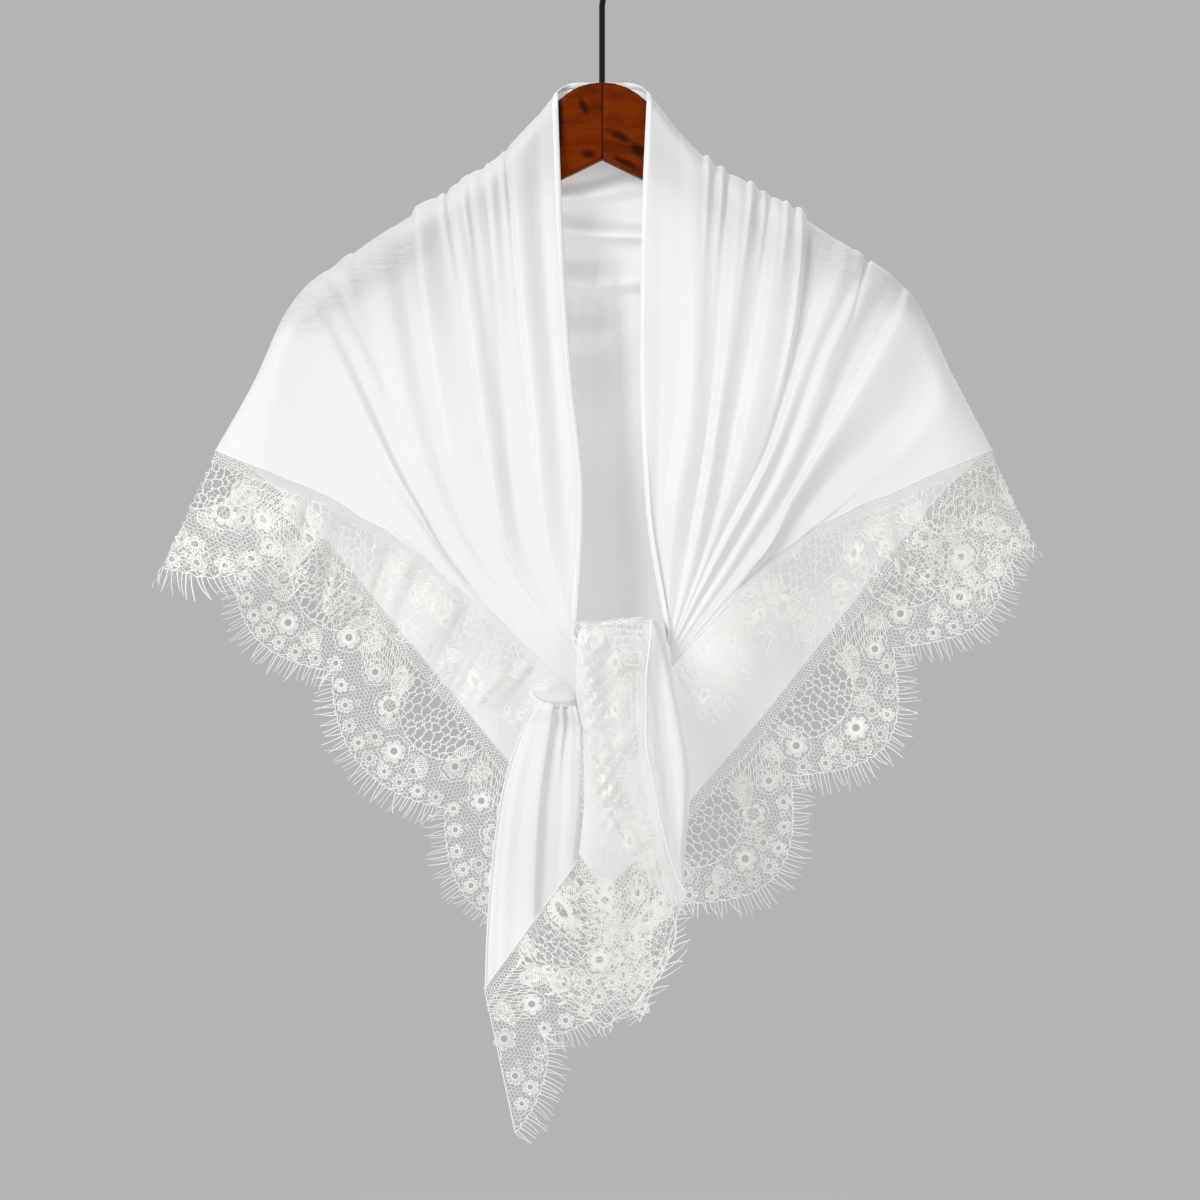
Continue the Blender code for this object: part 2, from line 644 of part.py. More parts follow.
def arm_section(along, top, under, half):
    """Rounded rectangle of the wooden arm at one distance from the middle."""
    corner = half * (0.35 + 0.5 * ease(along / 60.0))
    points = []
    centres = ((1, 1), (-1, 1), (-1, -1), (1, -1))
    for index, (out, up) in enumerate(centres):
        for step in range(SECTION_POINTS // 4):
            angle = math.pi / 2 * (index + step / (SECTION_POINTS // 4 - 1))
            y = out * (half - corner) + corner * math.cos(angle)
            z = (top - corner if up > 0 else under + corner) + corner * math.sin(angle)
            points.append((along, y, z))
    return np.array(points)


def hanger_arm(side, material):
    """One wooden arm, from the mitre at the middle to its rounded tip."""
    rings = []
    for along, top, under, half in ARM:
        ring = arm_section(along + MITRE_GAP / 2.0, top, under, half)
        ring[:, 0] *= side
        rings.append(ring)
    name = "hanger_arm_left" if side < 0 else "hanger_arm_right"
    arm = add_object(name, loft_mesh(name, rings), material)
    arm.data.set_sharp_from_angle(angle=math.radians(50.0))
    return arm


def hook_bore(arms):
    """Cut the hole for the hook's shank down through the mitre."""
    work = bmesh.new()
    radius = (WIRE_RADIUS + BORE_CLEARANCE) * MM
    bmesh.ops.create_cone(work, cap_ends=True, segments=SECTION_POINTS, depth=2.0 * BORE_DEPTH * MM,
                          radius1=radius, radius2=radius)
    mesh = bpy.data.meshes.new("bore_cutter")
    work.to_mesh(mesh)
    work.free()
    cutter = bpy.data.objects.new("bore_cutter", mesh)
    cutter.location.z = -CROWN_DROP * MM
    cutter.hide_render = True
    cutter.display_type = "WIRE"
    bpy.context.scene.collection.objects.link(cutter)
    for arm in arms:
        cut = arm.modifiers.new("Bore", "BOOLEAN")
        cut.operation = "DIFFERENCE"
        cut.object = cutter


def hook(material):
    """Wire shank and hook in one bent piece."""
    centre = -(HOOK_RADIUS - WIRE_RADIUS)
    bend_start = -HOOK_BEND_DROP
    points = [(0.0, -CROWN_DROP - BORE_DEPTH + BORE_CLEARANCE), (0.0, bend_start - 2.0)]
    for step in range(13):
        part = step / 12.0
        points.append((HOOK_RADIUS * float(ease(part)), bend_start + (centre - bend_start) * part))
    for step in range(1, 25):
        angle = math.radians(HOOK_END_ANGLE * step / 24.0)
        points.append((HOOK_RADIUS * math.cos(angle), centre + HOOK_RADIUS * math.sin(angle)))
    curve = bpy.data.curves.new("hook", "CURVE")
    curve.dimensions = "3D"
    curve.bevel_depth = WIRE_RADIUS * MM
    curve.bevel_resolution = 3
    curve.use_fill_caps = True
    spline = curve.splines.new("POLY")
    spline.points.add(len(points) - 1)
    for point, (x, z) in zip(spline.points, points):
        point.co = (x * MM, 0.0, z * MM, 1.0)
    curve.materials.append(material)
    piece = bpy.data.objects.new("hook", curve)
    bpy.context.scene.collection.objects.link(piece)


def build():
    """Make every piece."""
    for old in list(bpy.data.objects):
        bpy.data.objects.remove(old, do_unlink=True)
    cloth = make_material("white_cloth", (0.86, 0.86, 0.87), 0.8)
    lace = make_material("white_lace", (0.84, 0.84, 0.81), 0.75)
    fringe = make_material("white_fringe", (0.82, 0.82, 0.80), 0.7)
    wood = make_material("cherry_wood", (0.24, 0.06, 0.02), 0.35)
    steel = make_material("black_steel", (0.02, 0.02, 0.02), 0.4, 1.0)
    hook_bore([hanger_arm(side, wood) for side in (-1, 1)])
    hook(steel)
    back_panel(cloth)
    for side in (-1, 1):
        front_panel(side, cloth)
        for layer in ("front", "back"):
            lace_band(side, layer, lace, fringe)
    knot(cloth)
    tail_over(cloth, lace, fringe)
    tail_under(cloth, lace, fringe)


build()
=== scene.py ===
"""Looks of the lace-edged headscarf: cloth, lace, hem, hanger finish, light and camera.

Lengths in the tables and functions are millimetres, heights measured from the
crown of the wooden hanger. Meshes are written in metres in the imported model's
frame, +Z up, -Y the front, the origin at the inside top of the hook. Side -1
is the left of the front view and side 1 its right. Numbers that stand inside
sines only keep waves, folds and threads from being regular.
"""
import math

import bpy
import numpy as np
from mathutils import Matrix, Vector

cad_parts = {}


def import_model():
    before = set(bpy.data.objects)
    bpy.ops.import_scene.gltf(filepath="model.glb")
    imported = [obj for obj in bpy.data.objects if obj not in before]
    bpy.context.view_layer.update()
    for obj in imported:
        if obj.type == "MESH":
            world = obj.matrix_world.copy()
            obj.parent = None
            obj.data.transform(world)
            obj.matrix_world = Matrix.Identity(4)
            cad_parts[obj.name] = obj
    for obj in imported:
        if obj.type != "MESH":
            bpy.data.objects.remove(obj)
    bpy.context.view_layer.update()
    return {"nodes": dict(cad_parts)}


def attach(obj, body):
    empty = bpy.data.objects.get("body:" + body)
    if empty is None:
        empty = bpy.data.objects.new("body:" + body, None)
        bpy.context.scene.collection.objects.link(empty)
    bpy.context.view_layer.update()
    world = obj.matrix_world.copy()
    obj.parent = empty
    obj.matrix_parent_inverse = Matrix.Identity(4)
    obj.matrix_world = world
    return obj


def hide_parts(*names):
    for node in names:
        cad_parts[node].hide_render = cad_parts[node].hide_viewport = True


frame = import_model()

MM = 0.001
CROWN_DROP = 114.0          # hook's inside top down to the crown of the wood
KNOT_DEPTH = 40.0           # front panels stand this far forward at the knot

# Fold line of the shoulder and side: share across the panel, half width,
# height and the radius with which the cloth rolls over from front to back.
RIDGE = (
    # share  left_x  right_x  height   roll
    (0.00,   30.5,   30.8,    -6.5,   11.0),
    (0.18,   70.0,   70.0,   -52.0,   14.5),
    (0.42,  127.0,  131.0,   -88.5,   19.0),
    (0.60,  171.5,  176.0,  -118.0,   23.0),
    (0.72,  199.0,  203.0,  -137.0,   25.0),
    (0.80,  215.0,  217.0,  -157.0,   26.0),
    (0.90,  237.0,  241.0,  -204.0,   28.0),
    (1.00,  263.0,  265.5,  -250.0,   30.0),
)

# Middle of the back: share across the panel, depth and height.
BACK_RAIL = (
    # share  depth   height
    (0.00,   12.0,     1.4),
    (0.30,   20.0,   -84.0),
    (0.60,   25.0,  -168.0),
    (0.80,   25.0,  -330.0),
    (1.00,   22.0,  -553.0),
)

# Lines that run down the front from the fold line to the knot: share across
# the panel, height at the knot, and how far from the middle each line lies at
# the quarters of its drop.
FRONT_LEFT = (
    # share  knot_z   first   quarter   half   third   last
    (0.00,  -379.0,  -31.0,   -27.0,   -21.3,  -12.9,  -17.5),
    (0.15,  -383.0,  -63.5,   -56.6,   -50.3,  -42.0,  -17.5),
    (0.34,  -389.0, -108.0,   -95.2,   -83.2,  -67.5,  -17.5),
    (0.42,  -392.0, -127.0,  -118.0,  -106.5,  -83.0,  -17.5),
    (0.67,  -402.0, -188.0,  -168.0,  -139.0,  -92.0,  -17.5),
    (0.85,  -409.0, -226.0,  -196.0,  -143.0,  -81.0,  -17.5),
    (1.00,  -414.0, -263.0,  -167.5,  -110.0,  -61.0,  -17.5),
)
FRONT_RIGHT = (
    # share  knot_z   first   quarter   half   third   last
    (0.00,  -379.0,   31.3,    27.0,    25.9,   29.4,   44.0),
    (0.13,  -380.0,   59.0,    56.5,    53.9,   44.5,   44.0),
    (0.24,  -382.0,   84.0,    78.0,    72.5,   60.5,   45.0),
    (0.36,  -385.0,  115.0,   105.0,    90.5,   73.5,   45.5),
    (0.44,  -387.0,  135.0,   128.0,   111.0,   79.5,   45.5),
    (0.52,  -389.0,  155.0,   138.0,   118.5,   85.5,   46.0),
    (0.60,  -391.0,  176.0,   157.0,   131.0,   93.0,   46.0),
    (0.74,  -394.0,  206.0,   182.0,   144.0,   99.0,   46.0),
    (0.86,  -396.0,  232.0,   207.0,   151.0,   90.0,   46.0),
    (1.00,  -397.0,  265.5,   178.0,   113.0,   79.0,   46.0),
)

# Pleats that run down the fronts. Share across the panel at four places down,
# width of the slope towards the neck and away from it, how far the pleat shows
# on the back, and its rise at six places down.
PLEAT_PLACES = (0.0, 0.30, 0.60, 0.85)
PLEAT_ROWS = (0.0, 0.10, 0.25, 0.50, 0.75, 1.0)
PLEATS_LEFT = (
    # share down the pleat         inner  outer  back   rise down the pleat
    (0.020, 0.020, 0.020, 0.020,   0.020, 0.045, 0.00,  0.3,  0.6,  0.9,  1.3,  1.6,  1.5),
    (0.142, 0.140, 0.128, 0.130,   0.080, 0.018, 0.15,  2.8,  4.2,  5.2,  5.4,  4.8,  2.5),
    (0.172, 0.172, 0.172, 0.172,   0.013, 0.015, 0.20,  3.2,  1.2,  0.1,  0.0,  0.0,  0.0),
    (0.206, 0.215, 0.220, 0.220,   0.024, 0.017, 0.18,  3.0,  2.2,  0.8,  0.0,  0.0,  0.0),
    (0.250, 0.250, 0.250, 0.250,   0.040, 0.030, 0.12,  2.8,  2.2,  1.6,  0.0,  0.0,  0.0),
    (0.285, 0.285, 0.285, 0.285,   0.014, 0.010, 0.10,  2.2,  1.2,  0.0,  0.0,  0.0,  0.0),
    (0.316, 0.318, 0.322, 0.335,   0.075, 0.013, 0.12,  3.0,  4.2,  4.8,  5.0,  4.2,  2.0),
    (0.347, 0.347, 0.347, 0.347,   0.012, 0.012, 0.12,  2.6,  1.2,  0.0,  0.0,  0.0,  0.0),
    (0.417, 0.413, 0.400, 0.400,   0.060, 0.012, 0.15,  4.2,  4.8,  3.6,  1.2,  0.0,  0.0),
    (0.520, 0.515, 0.510, 0.510,   0.050, 0.070, 0.08,  0.8,  1.8,  2.4,  2.0,  1.4,  0.5),
    (0.610, 0.610, 0.610, 0.610,   0.020, 0.030, 0.08,  2.2,  0.8,  0.0,  0.0,  0.0,  0.0),
    (0.700, 0.620, 0.540, 0.500,   0.030, 0.040, 0.05,  0.6,  1.6,  1.6,  0.2,  0.0,  0.0),
    (0.745, 0.690, 0.665, 1.020,   0.036, 0.110, 0.05,  0.6,  2.0,  3.2,  3.6,  3.0,  1.0),
    (0.880, 0.880, 0.900, 0.960,   0.050, 0.060, 0.00,  0.0,  0.5,  0.9,  0.8,  0.6,  0.5),
)
PLEATS_RIGHT = (
    # share down the pleat         inner  outer  back   rise down the pleat
    (0.015, 0.015, 0.015, 0.015,   0.015, 0.045, 0.00,  0.3,  0.6,  0.9,  1.2,  1.4,  1.0),
    (0.150, 0.160, 0.165, 0.150,   0.048, 0.085, 0.15,  1.0,  2.0,  3.2,  4.2,  4.2,  2.5),
    (0.190, 0.190, 0.190, 0.190,   0.013, 0.013, 0.20,  3.4,  1.6,  0.2,  0.0,  0.0,  0.0),
    (0.230, 0.230, 0.230, 0.230,   0.014, 0.012, 0.20,  3.6,  2.2,  0.3,  0.0,  0.0,  0.0),
    (0.275, 0.285, 0.275, 0.275,   0.034, 0.070, 0.18,  2.8,  3.6,  4.2,  4.6,  4.4,  3.0),
    (0.308, 0.308, 0.308, 0.308,   0.012, 0.011, 0.12,  3.0,  1.8,  0.2,  0.0,  0.0,  0.0),
    (0.345, 0.345, 0.345, 0.345,   0.013, 0.010, 0.12,  2.8,  1.2,  0.0,  0.0,  0.0,  0.0),
    (0.378, 0.383, 0.385, 0.370,   0.026, 0.075, 0.12,  2.8,  3.8,  4.4,  4.4,  3.8,  2.5),
    (0.400, 0.400, 0.400, 0.400,   0.010, 0.012, 0.10,  2.4,  1.2,  0.0,  0.0,  0.0,  0.0),
    (0.437, 0.445, 0.440, 0.440,   0.017, 0.016, 0.15,  4.4,  5.0,  3.8,  0.6,  0.0,  0.0),
    (0.575, 0.535, 0.495, 0.455,   0.040, 0.065, 0.08,  0.8,  3.0,  4.6,  5.0,  4.8,  3.0),
    (0.598, 0.598, 0.598, 0.598,   0.020, 0.018, 0.08,  1.6,  0.6,  0.0,  0.0,  0.0,  0.0),
    (0.617, 0.617, 0.617, 0.617,   0.008, 0.009, 0.04, -3.2, -1.2,  0.0,  0.0,  0.0,  0.0),
    (0.650, 0.590, 0.575, 0.560,   0.030, 0.060, 0.08,  1.2,  2.8,  3.6,  3.8,  3.0,  1.5),
    (0.765, 0.718, 0.688, 1.020,   0.028, 0.110, 0.08,  1.6,  3.8,  5.2,  5.4,  4.2,  2.0),
    (0.900, 0.900, 0.920, 0.960,   0.050, 0.060, 0.00,  0.0,  0.6,  1.0,  1.0,  0.8,  0.5),
)

KNOT_FADE = 0.80            # how much of its rise a pleat has lost at the knot
KNOT_FADE_DOWN = (0.62, 0.36)       # where down the front that starts, and its reach
PLEAT_GAIN = {-1: 1.45, 1: 1.75}    # by which all rises grow away from the fold line
PLEAT_GAIN_REACH = 0.12
SLOPE_GROWTH = 0.012        # by which the slopes widen down the pleat
ROUNDED = 0.85              # share of tube shape in a pleat that lies over the fold line
ROUND_REACH = 0.10
CALM_SHARES = (0.78, 0.14)  # beside the lace the front is smooth: start and reach
CALM_DOWN = (0.12, 0.30)
HEM_WAVE = 1.5              # unevenness of the front's lower edge
HEM_WAVES = 21.0
HEM_SHARES = (0.86, 0.14)
DEPTH_POWER = 1.2           # of the fronts' way forwards to the knot
# Small gathers where the cloth is drawn into the knot: number and rise, places
# where they start and are full, end and its reach, and their reach at the neck.
GATHERS = 8.0
GATHER_RISE = 0.12
GATHER_START = 0.55
GATHER_FULL = 0.85
GATHER_END = (1.04, 0.15)
NECK_CALM = 0.05

# Folds that hang across the upper back: share, width of the slope above and
# below, and rise towards the front.
COWL_FOLDS = (
    # share  above   below   rise
    (0.262,  0.040,  0.030,   6.5),
    (0.372,  0.050,  0.018,   9.0),
    (0.505,  0.070,  0.028,   9.0),
    (0.600,  0.040,  0.030,   4.0),
    (0.680,  0.050,  0.060,   4.5),
)

COWL_START = 1.6            # they have their whole rise before the middle
COWL_UNEVEN = 0.9           # differences from side to side in rise, place and width
COWL_STRAY = 0.06
COWL_WIDENING = 0.5

# Folds that fall down the back below the neck: part of the way from the side
# fold to the middle, widths of their slopes and rise.
BACK_FOLDS = {
    -1: ((0.40, 0.15, 0.09, 8.0), (0.63, 0.06, 0.13, 9.0),
         (0.80, 0.10, 0.06, 7.0), (0.94, 0.05, 0.06, 6.0)),
    1: ((0.33, 0.09, 0.16, 8.0), (0.55, 0.12, 0.06, 9.0),
        (0.75, 0.06, 0.12, 8.0), (0.91, 0.09, 0.05, 5.0)),
}
BACK_FOLD_START = (0.38, 0.35)      # share across where they start, and their reach
BACK_FOLD_END = (0.85, 0.15)
BACK_FOLD_LOSS = 0.35       # of their rise, at the seam
BACK_FOLD_LEAN = 0.05       # part by which they lean, about the share below
BACK_FOLD_UPRIGHT = 0.7

# Curve of the back between the side and the middle: power at the seam, lift.
BACK_CURVE = {-1: (0.87, 14.0), 1: (1.07, 10.0)}
LIFT_SHARES = (0.5, 0.5)    # start and reach of the lift
SHOULDER_POWER = 1.8        # the same power near the neck, where the back sags
SAG_SHARES = (0.45, 0.55)   # start and reach of its change to the power at the seam
COLLAR_POWER = 5.0          # added to that power at the collar, which stands up beside the wood
COLLAR_SHARE = 0.10

# Grids of the cloth, with how closely their lines crowd at sharp folds.
FRONT_COLUMNS = 220
BACK_COLUMNS = 160
FRONT_ROWS = 96
BACK_ROWS = 76
FOLD_CROWDING = 2.5
FRONT_CROWD = 0.09
BACK_CROWD = 0.10
BACK_MARKS = slice(2, 11)   # pleats whose ends show on the back
BACK_MARK = 0.02
SHARPEST = 0.006


def slopes(values, steps):
    """Slopes that keep a curve through the values free of overshoot."""
    rise = np.diff(values, axis=0) / steps
    before, after = rise[:-1], rise[1:]
    total = before + after
    total = np.where(np.abs(total) < 1e-9, 1.0, total)
    middle = np.where(before * after > 0.0, 2.0 * before * after / total, 0.0)
    return np.concatenate([rise[:1], middle, rise[-1:]])


def hermite(first, last, slope_first, slope_last, step, part):
    """Cubic between two values with the given slopes."""
    part2 = part * part
    part3 = part2 * part
    return (first * (2.0 * part3 - 3.0 * part2 + 1.0)
            + slope_first * step * (part3 - 2.0 * part2 + part)
            + last * (3.0 * part2 - 2.0 * part3)
            + slope_last * step * (part3 - part2))


def through(keys, values, at):
    """Smooth curve through values at the given keys."""
    keys, values = np.asarray(keys, float), np.asarray(values, float)
    steps = np.diff(keys)
    slope = slopes(values, steps)
    cell = np.clip(np.searchsorted(keys, at, side="right") - 1, 0, len(steps) - 1)
    part = (at - keys[cell]) / steps[cell]
    return hermite(values[cell], values[cell + 1], slope[cell], slope[cell + 1], steps[cell], part)


def smooth(table, column, at):
    """Smooth curve through one column of a table, against its first column."""
    return through([row[0] for row in table], [row[column] for row in table], at)


def along_quarters(columns, share):
    """Smooth curve through five values a quarter apart, one curve per point."""
    slope = slopes(columns, 0.25)
    cell = np.clip((share * 4.0).astype(int), 0, 3)
    part = share * 4.0 - cell
    pick = np.arange(share.size)
    return hermite(columns[cell, pick], columns[cell + 1, pick],
                   slope[cell, pick], slope[cell + 1, pick], 0.25, part)


def ease(value):
    """Smooth step from 0 to 1."""
    value = np.clip(value, 0.0, 1.0)
    return value * value * (3.0 - 2.0 * value)


def rising(value, start, reach):
    """Smooth step from 0 at the start to 1 a reach later."""
    return ease((value - start) / reach)


def falling(value, end, reach):
    """Smooth step from 1 a reach before the end to 0 there."""
    return ease((end - value) / reach)


def full_turn(count):
    """Angles once round."""
    return np.linspace(0.0, 2.0 * math.pi, count, endpoint=False)


def side_name(side):
    """Left or right, as in the names of nodes."""
    return "left" if side < 0 else "right"


def ridge_shape(at, centre, before, after):
    """Rounded ridge, 1 at its centre, with its own width on each side."""
    width = np.where(at < centre, before, after)
    return ease(1.0 - np.abs(at - centre) / width)


def fold_shape(at, centre, before, after, down):
    """Ridge that is as round as a tube where it lies over the fold line."""
    width = np.where(at < centre, before, after) + SLOPE_GROWTH * down
    tube = np.sqrt(np.clip(1.0 - ((at - centre) / width) ** 2, 0.0, 1.0))
    round_part = ROUNDED * ease(1.0 - down / ROUND_REACH)
    return ease(1.0 - np.abs(at - centre) / width) * (1.0 - round_part) + tube * round_part


def fold_line(side, share):
    """Sideways place, height and roll of the fold line on one side."""
    top_x = side * smooth(RIDGE, 1 if side < 0 else 2, share)
    return top_x, smooth(RIDGE, 3, share), smooth(RIDGE, 4, share)


def roll_over(distance, radius):
    """Depth, in-plane advance and slope of cloth that rolls off the fold line."""
    angle = np.minimum(distance / radius, math.pi / 2)
    beyond = np.maximum(distance - radius * math.pi / 2, 0.0)
    return radius * np.sin(angle), radius * (1.0 - np.cos(angle)) + beyond, angle


def roll_down(run, length, radius):
    """Depth, part of its way and slope of cloth after a share of its run off the fold line."""
    depth, advance, angle = roll_over(run * (length - radius + radius * math.pi / 2), radius)
    return depth, np.clip(advance / length, 0.0, 1.0), angle


def pleats_of(side):
    """The pleat table of one side."""
    return PLEATS_LEFT if side < 0 else PLEATS_RIGHT


def pleat_rise(side, share, down):
    """Rise of the pleats on a front, with the gathers at the knot."""
    rise = np.zeros_like(share)
    for row in pleats_of(side):
        centre = through(PLEAT_PLACES, row[:4], down)
        rise += through(PLEAT_ROWS, row[7:], down) * fold_shape(share, centre, *row[4:6], down)
    gain = 1.0 + (PLEAT_GAIN[side] - 1.0) * ease(down / PLEAT_GAIN_REACH)
    rise *= gain * (1.0 - KNOT_FADE * rising(down, *KNOT_FADE_DOWN))
    uneven = GATHERS * share + 0.35 * np.sin(9.0 * share + side)
    drawn = GATHER_RISE * rising(down, GATHER_START, GATHER_FULL - GATHER_START)
    drawn = drawn * falling(down, *GATHER_END)
    calm = 1.0 - rising(share, *CALM_SHARES) * rising(down, *CALM_DOWN)
    return (rise + drawn * np.sin(2.0 * math.pi * uneven) * ease(share / NECK_CALM)) * calm


def back_rise(side, share, inward):
    """Rise of the pleats where they run out on the back."""
    rise = np.zeros_like(share)
    for row in pleats_of(side):
        if row[6] > 0.0:
            rise += (row[7] * ease(1.0 - inward / row[6])
                     * fold_shape(share, row[0], *row[4:6], inward))
    return rise


def front_point(side, share, down):
    """Points of a front panel; down runs from 0 at the fold line to 1."""
    table = FRONT_LEFT if side < 0 else FRONT_RIGHT
    top_x, top_z, radius = fold_line(side, share)
    knot_z = smooth(table, 1, share)
    columns = np.stack([smooth(table, column, share) for column in (2, 3, 4, 5, 6)])
    columns[0] = top_x
    length = np.hypot(top_x - columns[4], top_z - knot_z)
    depth, part, angle = roll_down(down, length, radius)
    x = along_quarters(columns, part)
    z = top_z + (knot_z - top_z) * part
    y = -depth - (KNOT_DEPTH - radius) * part ** DEPTH_POWER
    rise = pleat_rise(side, share, down)
    wave = np.sin(HEM_WAVES * part + side) + 0.6 * np.sin(2.3 * HEM_WAVES * part + 2.0 * side)
    z = z + HEM_WAVE * wave * rising(share, *HEM_SHARES) * np.sin(math.pi * part)
    return np.stack([x, y - rise * np.sin(angle), z + rise * np.cos(angle)], axis=-1)


def back_point(side, share, inward):
    """Points of the back; inward runs from 0 at the fold line to 1."""
    top_x, top_z, radius = fold_line(side, share)
    rail_y, rail_z = smooth(BACK_RAIL, 1, share), smooth(BACK_RAIL, 2, share)
    power_end, lift = BACK_CURVE[side]
    power = SHOULDER_POWER + (power_end - SHOULDER_POWER) * rising(share, *SAG_SHARES)
    power = power + COLLAR_POWER * ease(1.0 - share / COLLAR_SHARE)
    depth, part, angle = roll_down(inward, np.hypot(top_x, top_z - rail_z), radius)
    left = 1.0 - part
    raised = lift * np.sin(math.pi * left ** 3) * rising(share, *LIFT_SHARES)
    z = rail_z + (top_z - rail_z) * left ** power + raised
    y = depth + (rail_y - radius) * ease(part)
    rise = back_rise(side, share, inward)
    for centre, above, below, height in COWL_FOLDS:
        astray = side * (1.0 - part) * math.sin(19.0 * centre)
        lower = below * (1.0 + COWL_WIDENING * abs(astray))
        rise -= (height * (1.0 + COWL_UNEVEN * astray) * ease(part * COWL_START)
                 * ridge_shape(share, centre + COWL_STRAY * astray, above, lower))
    shown = rising(share, *BACK_FOLD_START) * (1.0 - BACK_FOLD_LOSS * rising(share, *BACK_FOLD_END))
    leaning = part + BACK_FOLD_LEAN * (share - BACK_FOLD_UPRIGHT)
    for centre, before, after, height in BACK_FOLDS[side]:
        rise += height * ridge_shape(leaning, centre, before, after) * shown
    return np.stack([top_x * left, y + rise * np.sin(angle), z + rise * np.cos(angle)], axis=-1)


def lay_out(points):
    """Millimetres from the crown of the wood, turned into metres of the frame."""
    return (np.asarray(points) - np.array([0.0, 0.0, CROWN_DROP])) * MM


def quad_mesh(name, points, quads, smooth=True):
    """Mesh of four-sided faces."""
    quads = np.asarray(quads, dtype=np.int32).reshape(-1, 4)
    mesh = bpy.data.meshes.new(name)
    mesh.vertices.add(len(points))
    mesh.vertices.foreach_set("co", lay_out(points).ravel())
    mesh.loops.add(quads.size)
    mesh.loops.foreach_set("vertex_index", quads.ravel())
    mesh.polygons.add(len(quads))
    mesh.polygons.foreach_set("loop_start", np.arange(0, quads.size, 4, dtype=np.int32))
    mesh.update(calc_edges=True)
    mesh.validate()
    if smooth:
        mesh.shade_smooth()
    return mesh


def grid_quads(rows, columns, around=False):
    """Faces of a grid of points, closed across its columns if around is set."""
    wide = columns if around else columns - 1
    row, column = np.meshgrid(np.arange(rows - 1), np.arange(wide), indexing="ij")
    here = row * columns + column
    beside = row * columns + (column + 1) % columns
    return np.stack([here, beside, beside + columns, here + columns]).reshape(4, -1).T


def add_piece(name, mesh, material, replaced=()):
    """One visible piece that rides on the only body."""
    mesh.materials.append(material)
    piece = put_in_scene(bpy.data.objects.new(name, mesh))
    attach(piece, "root")
    if replaced:
        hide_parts(*replaced)


def put_in_scene(piece):
    """Link an object into the scene."""
    bpy.context.scene.collection.objects.link(piece)
    return piece


def add_cloth(name, points, material, replaced):
    """Sheet of cloth through a grid of points, in the place of a solid."""
    mesh = quad_mesh(name, points.reshape(-1, 3), grid_quads(*points.shape[:2]))
    add_piece(name, mesh, material, [replaced])


def crowded(marks, count, spread):
    """Places from 0 to 1 that crowd at the marks, for grids with sharp folds."""
    fine = np.linspace(0.0, 1.0, 4001)
    density = np.ones_like(fine)
    for mark, width in marks:
        density += spread * np.exp(-((fine - mark) / max(width, SHARPEST)) ** 2)
    total = np.concatenate([[0.0], np.cumsum((density[1:] + density[:-1]) / 2.0)])
    return np.interp(np.linspace(0.0, total[-1], count), total, fine)


def front_panel(side, material):
    """One front, from the shoulder fold to the knot, finest on steep slopes."""
    marks = []
    for row in pleats_of(side):
        inner, outer = row[4:6]
        steep = row[1] + outer / 2.0 if outer < inner else row[1] - inner / 2.0
        marks.append((steep, min(inner, outer)))
    share, down = np.meshgrid(crowded(marks, FRONT_COLUMNS, 1.0),
                              crowded([(0.0, FRONT_CROWD)], FRONT_ROWS, FOLD_CROWDING))
    points = front_point(side, share.ravel(), down.ravel()).reshape(*share.shape, 3)
    node = "front_" + side_name(side)
    add_cloth("cloth_" + node, points if side > 0 else points[:, ::-1], material, node)


def back_panel(material):
    """The whole back, from one side fold to the other."""
    marks = [(row[0] + row[2] * 0.5, row[2]) for row in COWL_FOLDS]
    marks += [(row[0], BACK_MARK) for row in PLEATS_RIGHT[BACK_MARKS]]
    share, inward = np.meshgrid(crowded(marks, BACK_COLUMNS, 1.0),
                                crowded([(0.0, BACK_CROWD)], BACK_ROWS, FOLD_CROWDING))
    left, right = (back_point(side, share.ravel(), inward.ravel()).reshape(*share.shape, 3)
                   for side in (-1, 1))
    add_cloth("cloth_back", np.concatenate([left, right[::-1][1:]]), material, "back")


# Lace edging, sewn along the seam: its lobes and the bands of its pattern.
SCALLOP_PITCH = 115.0       # one lobe along the seam
LACE_PEAK = 74.0            # width at the middle of an ordinary lobe
LOBE_POWER = {-1: 0.85, 1: 1.0}     # smaller values make squarer lobes
LOBE_NOTCH = {-1: 53.0, 1: 41.0}    # widths between two lobes and in their middles
LOBE_PEAK = {-1: 80.0, 1: 78.0}
FOLD_LOBE = {-1: 8.0, 1: 13.0}      # the lobe at the side fold is wider by this
FOLD_MIDDLE = 12.0
FOLD_REACH = 36.0
NOTCH_SHIFT = {-1: -7.0, 1: 4.0}    # of the second notch, so that lobes differ in width
HEADING = 8.0               # dense band beside the seam
BORDER = 3.6                # depth of the loops along the free edge
LOOP_PITCH = 6.3
LASH_LENGTH = 14.0
LASH_LENGTHS = (0.72, 1.12)  # shares of that length
LASH_PITCH = 2.6
LASH_POINTS = 6
LASH_STEEPEST = 1.1         # slope of the edge up to which lashes lean further
LASH_LEAN = 0.8             # of that slope
LASH_ASTRAY = 0.09          # spread of their lean
LASH_BENDS = (0.9, 1.6)     # middle and spread of their bends
LASH_SPREAD = 1.5           # of their ends, forwards and back
LASH_TAPER = 0.45
LASH_WIDTHS = (0.75, 1.25)  # shares of LASH_THREAD
LASH_ROOM = 1.6             # the table of places reaches this many lashes beyond the edge
PLACE_STEP = 1.5            # between the rows of that table
END_MARGIN = 3.0            # its reach past the ends of the lace
FRONT_SEED, BACK_SEED = 11, 12
FAN_POINTS = 42             # of one thread of a fan
FAN_PITCH = 4.7
FAN_CELL = 7.4
FAN_SWAY = 0.9
FAN_LINK_DROP = 0.4
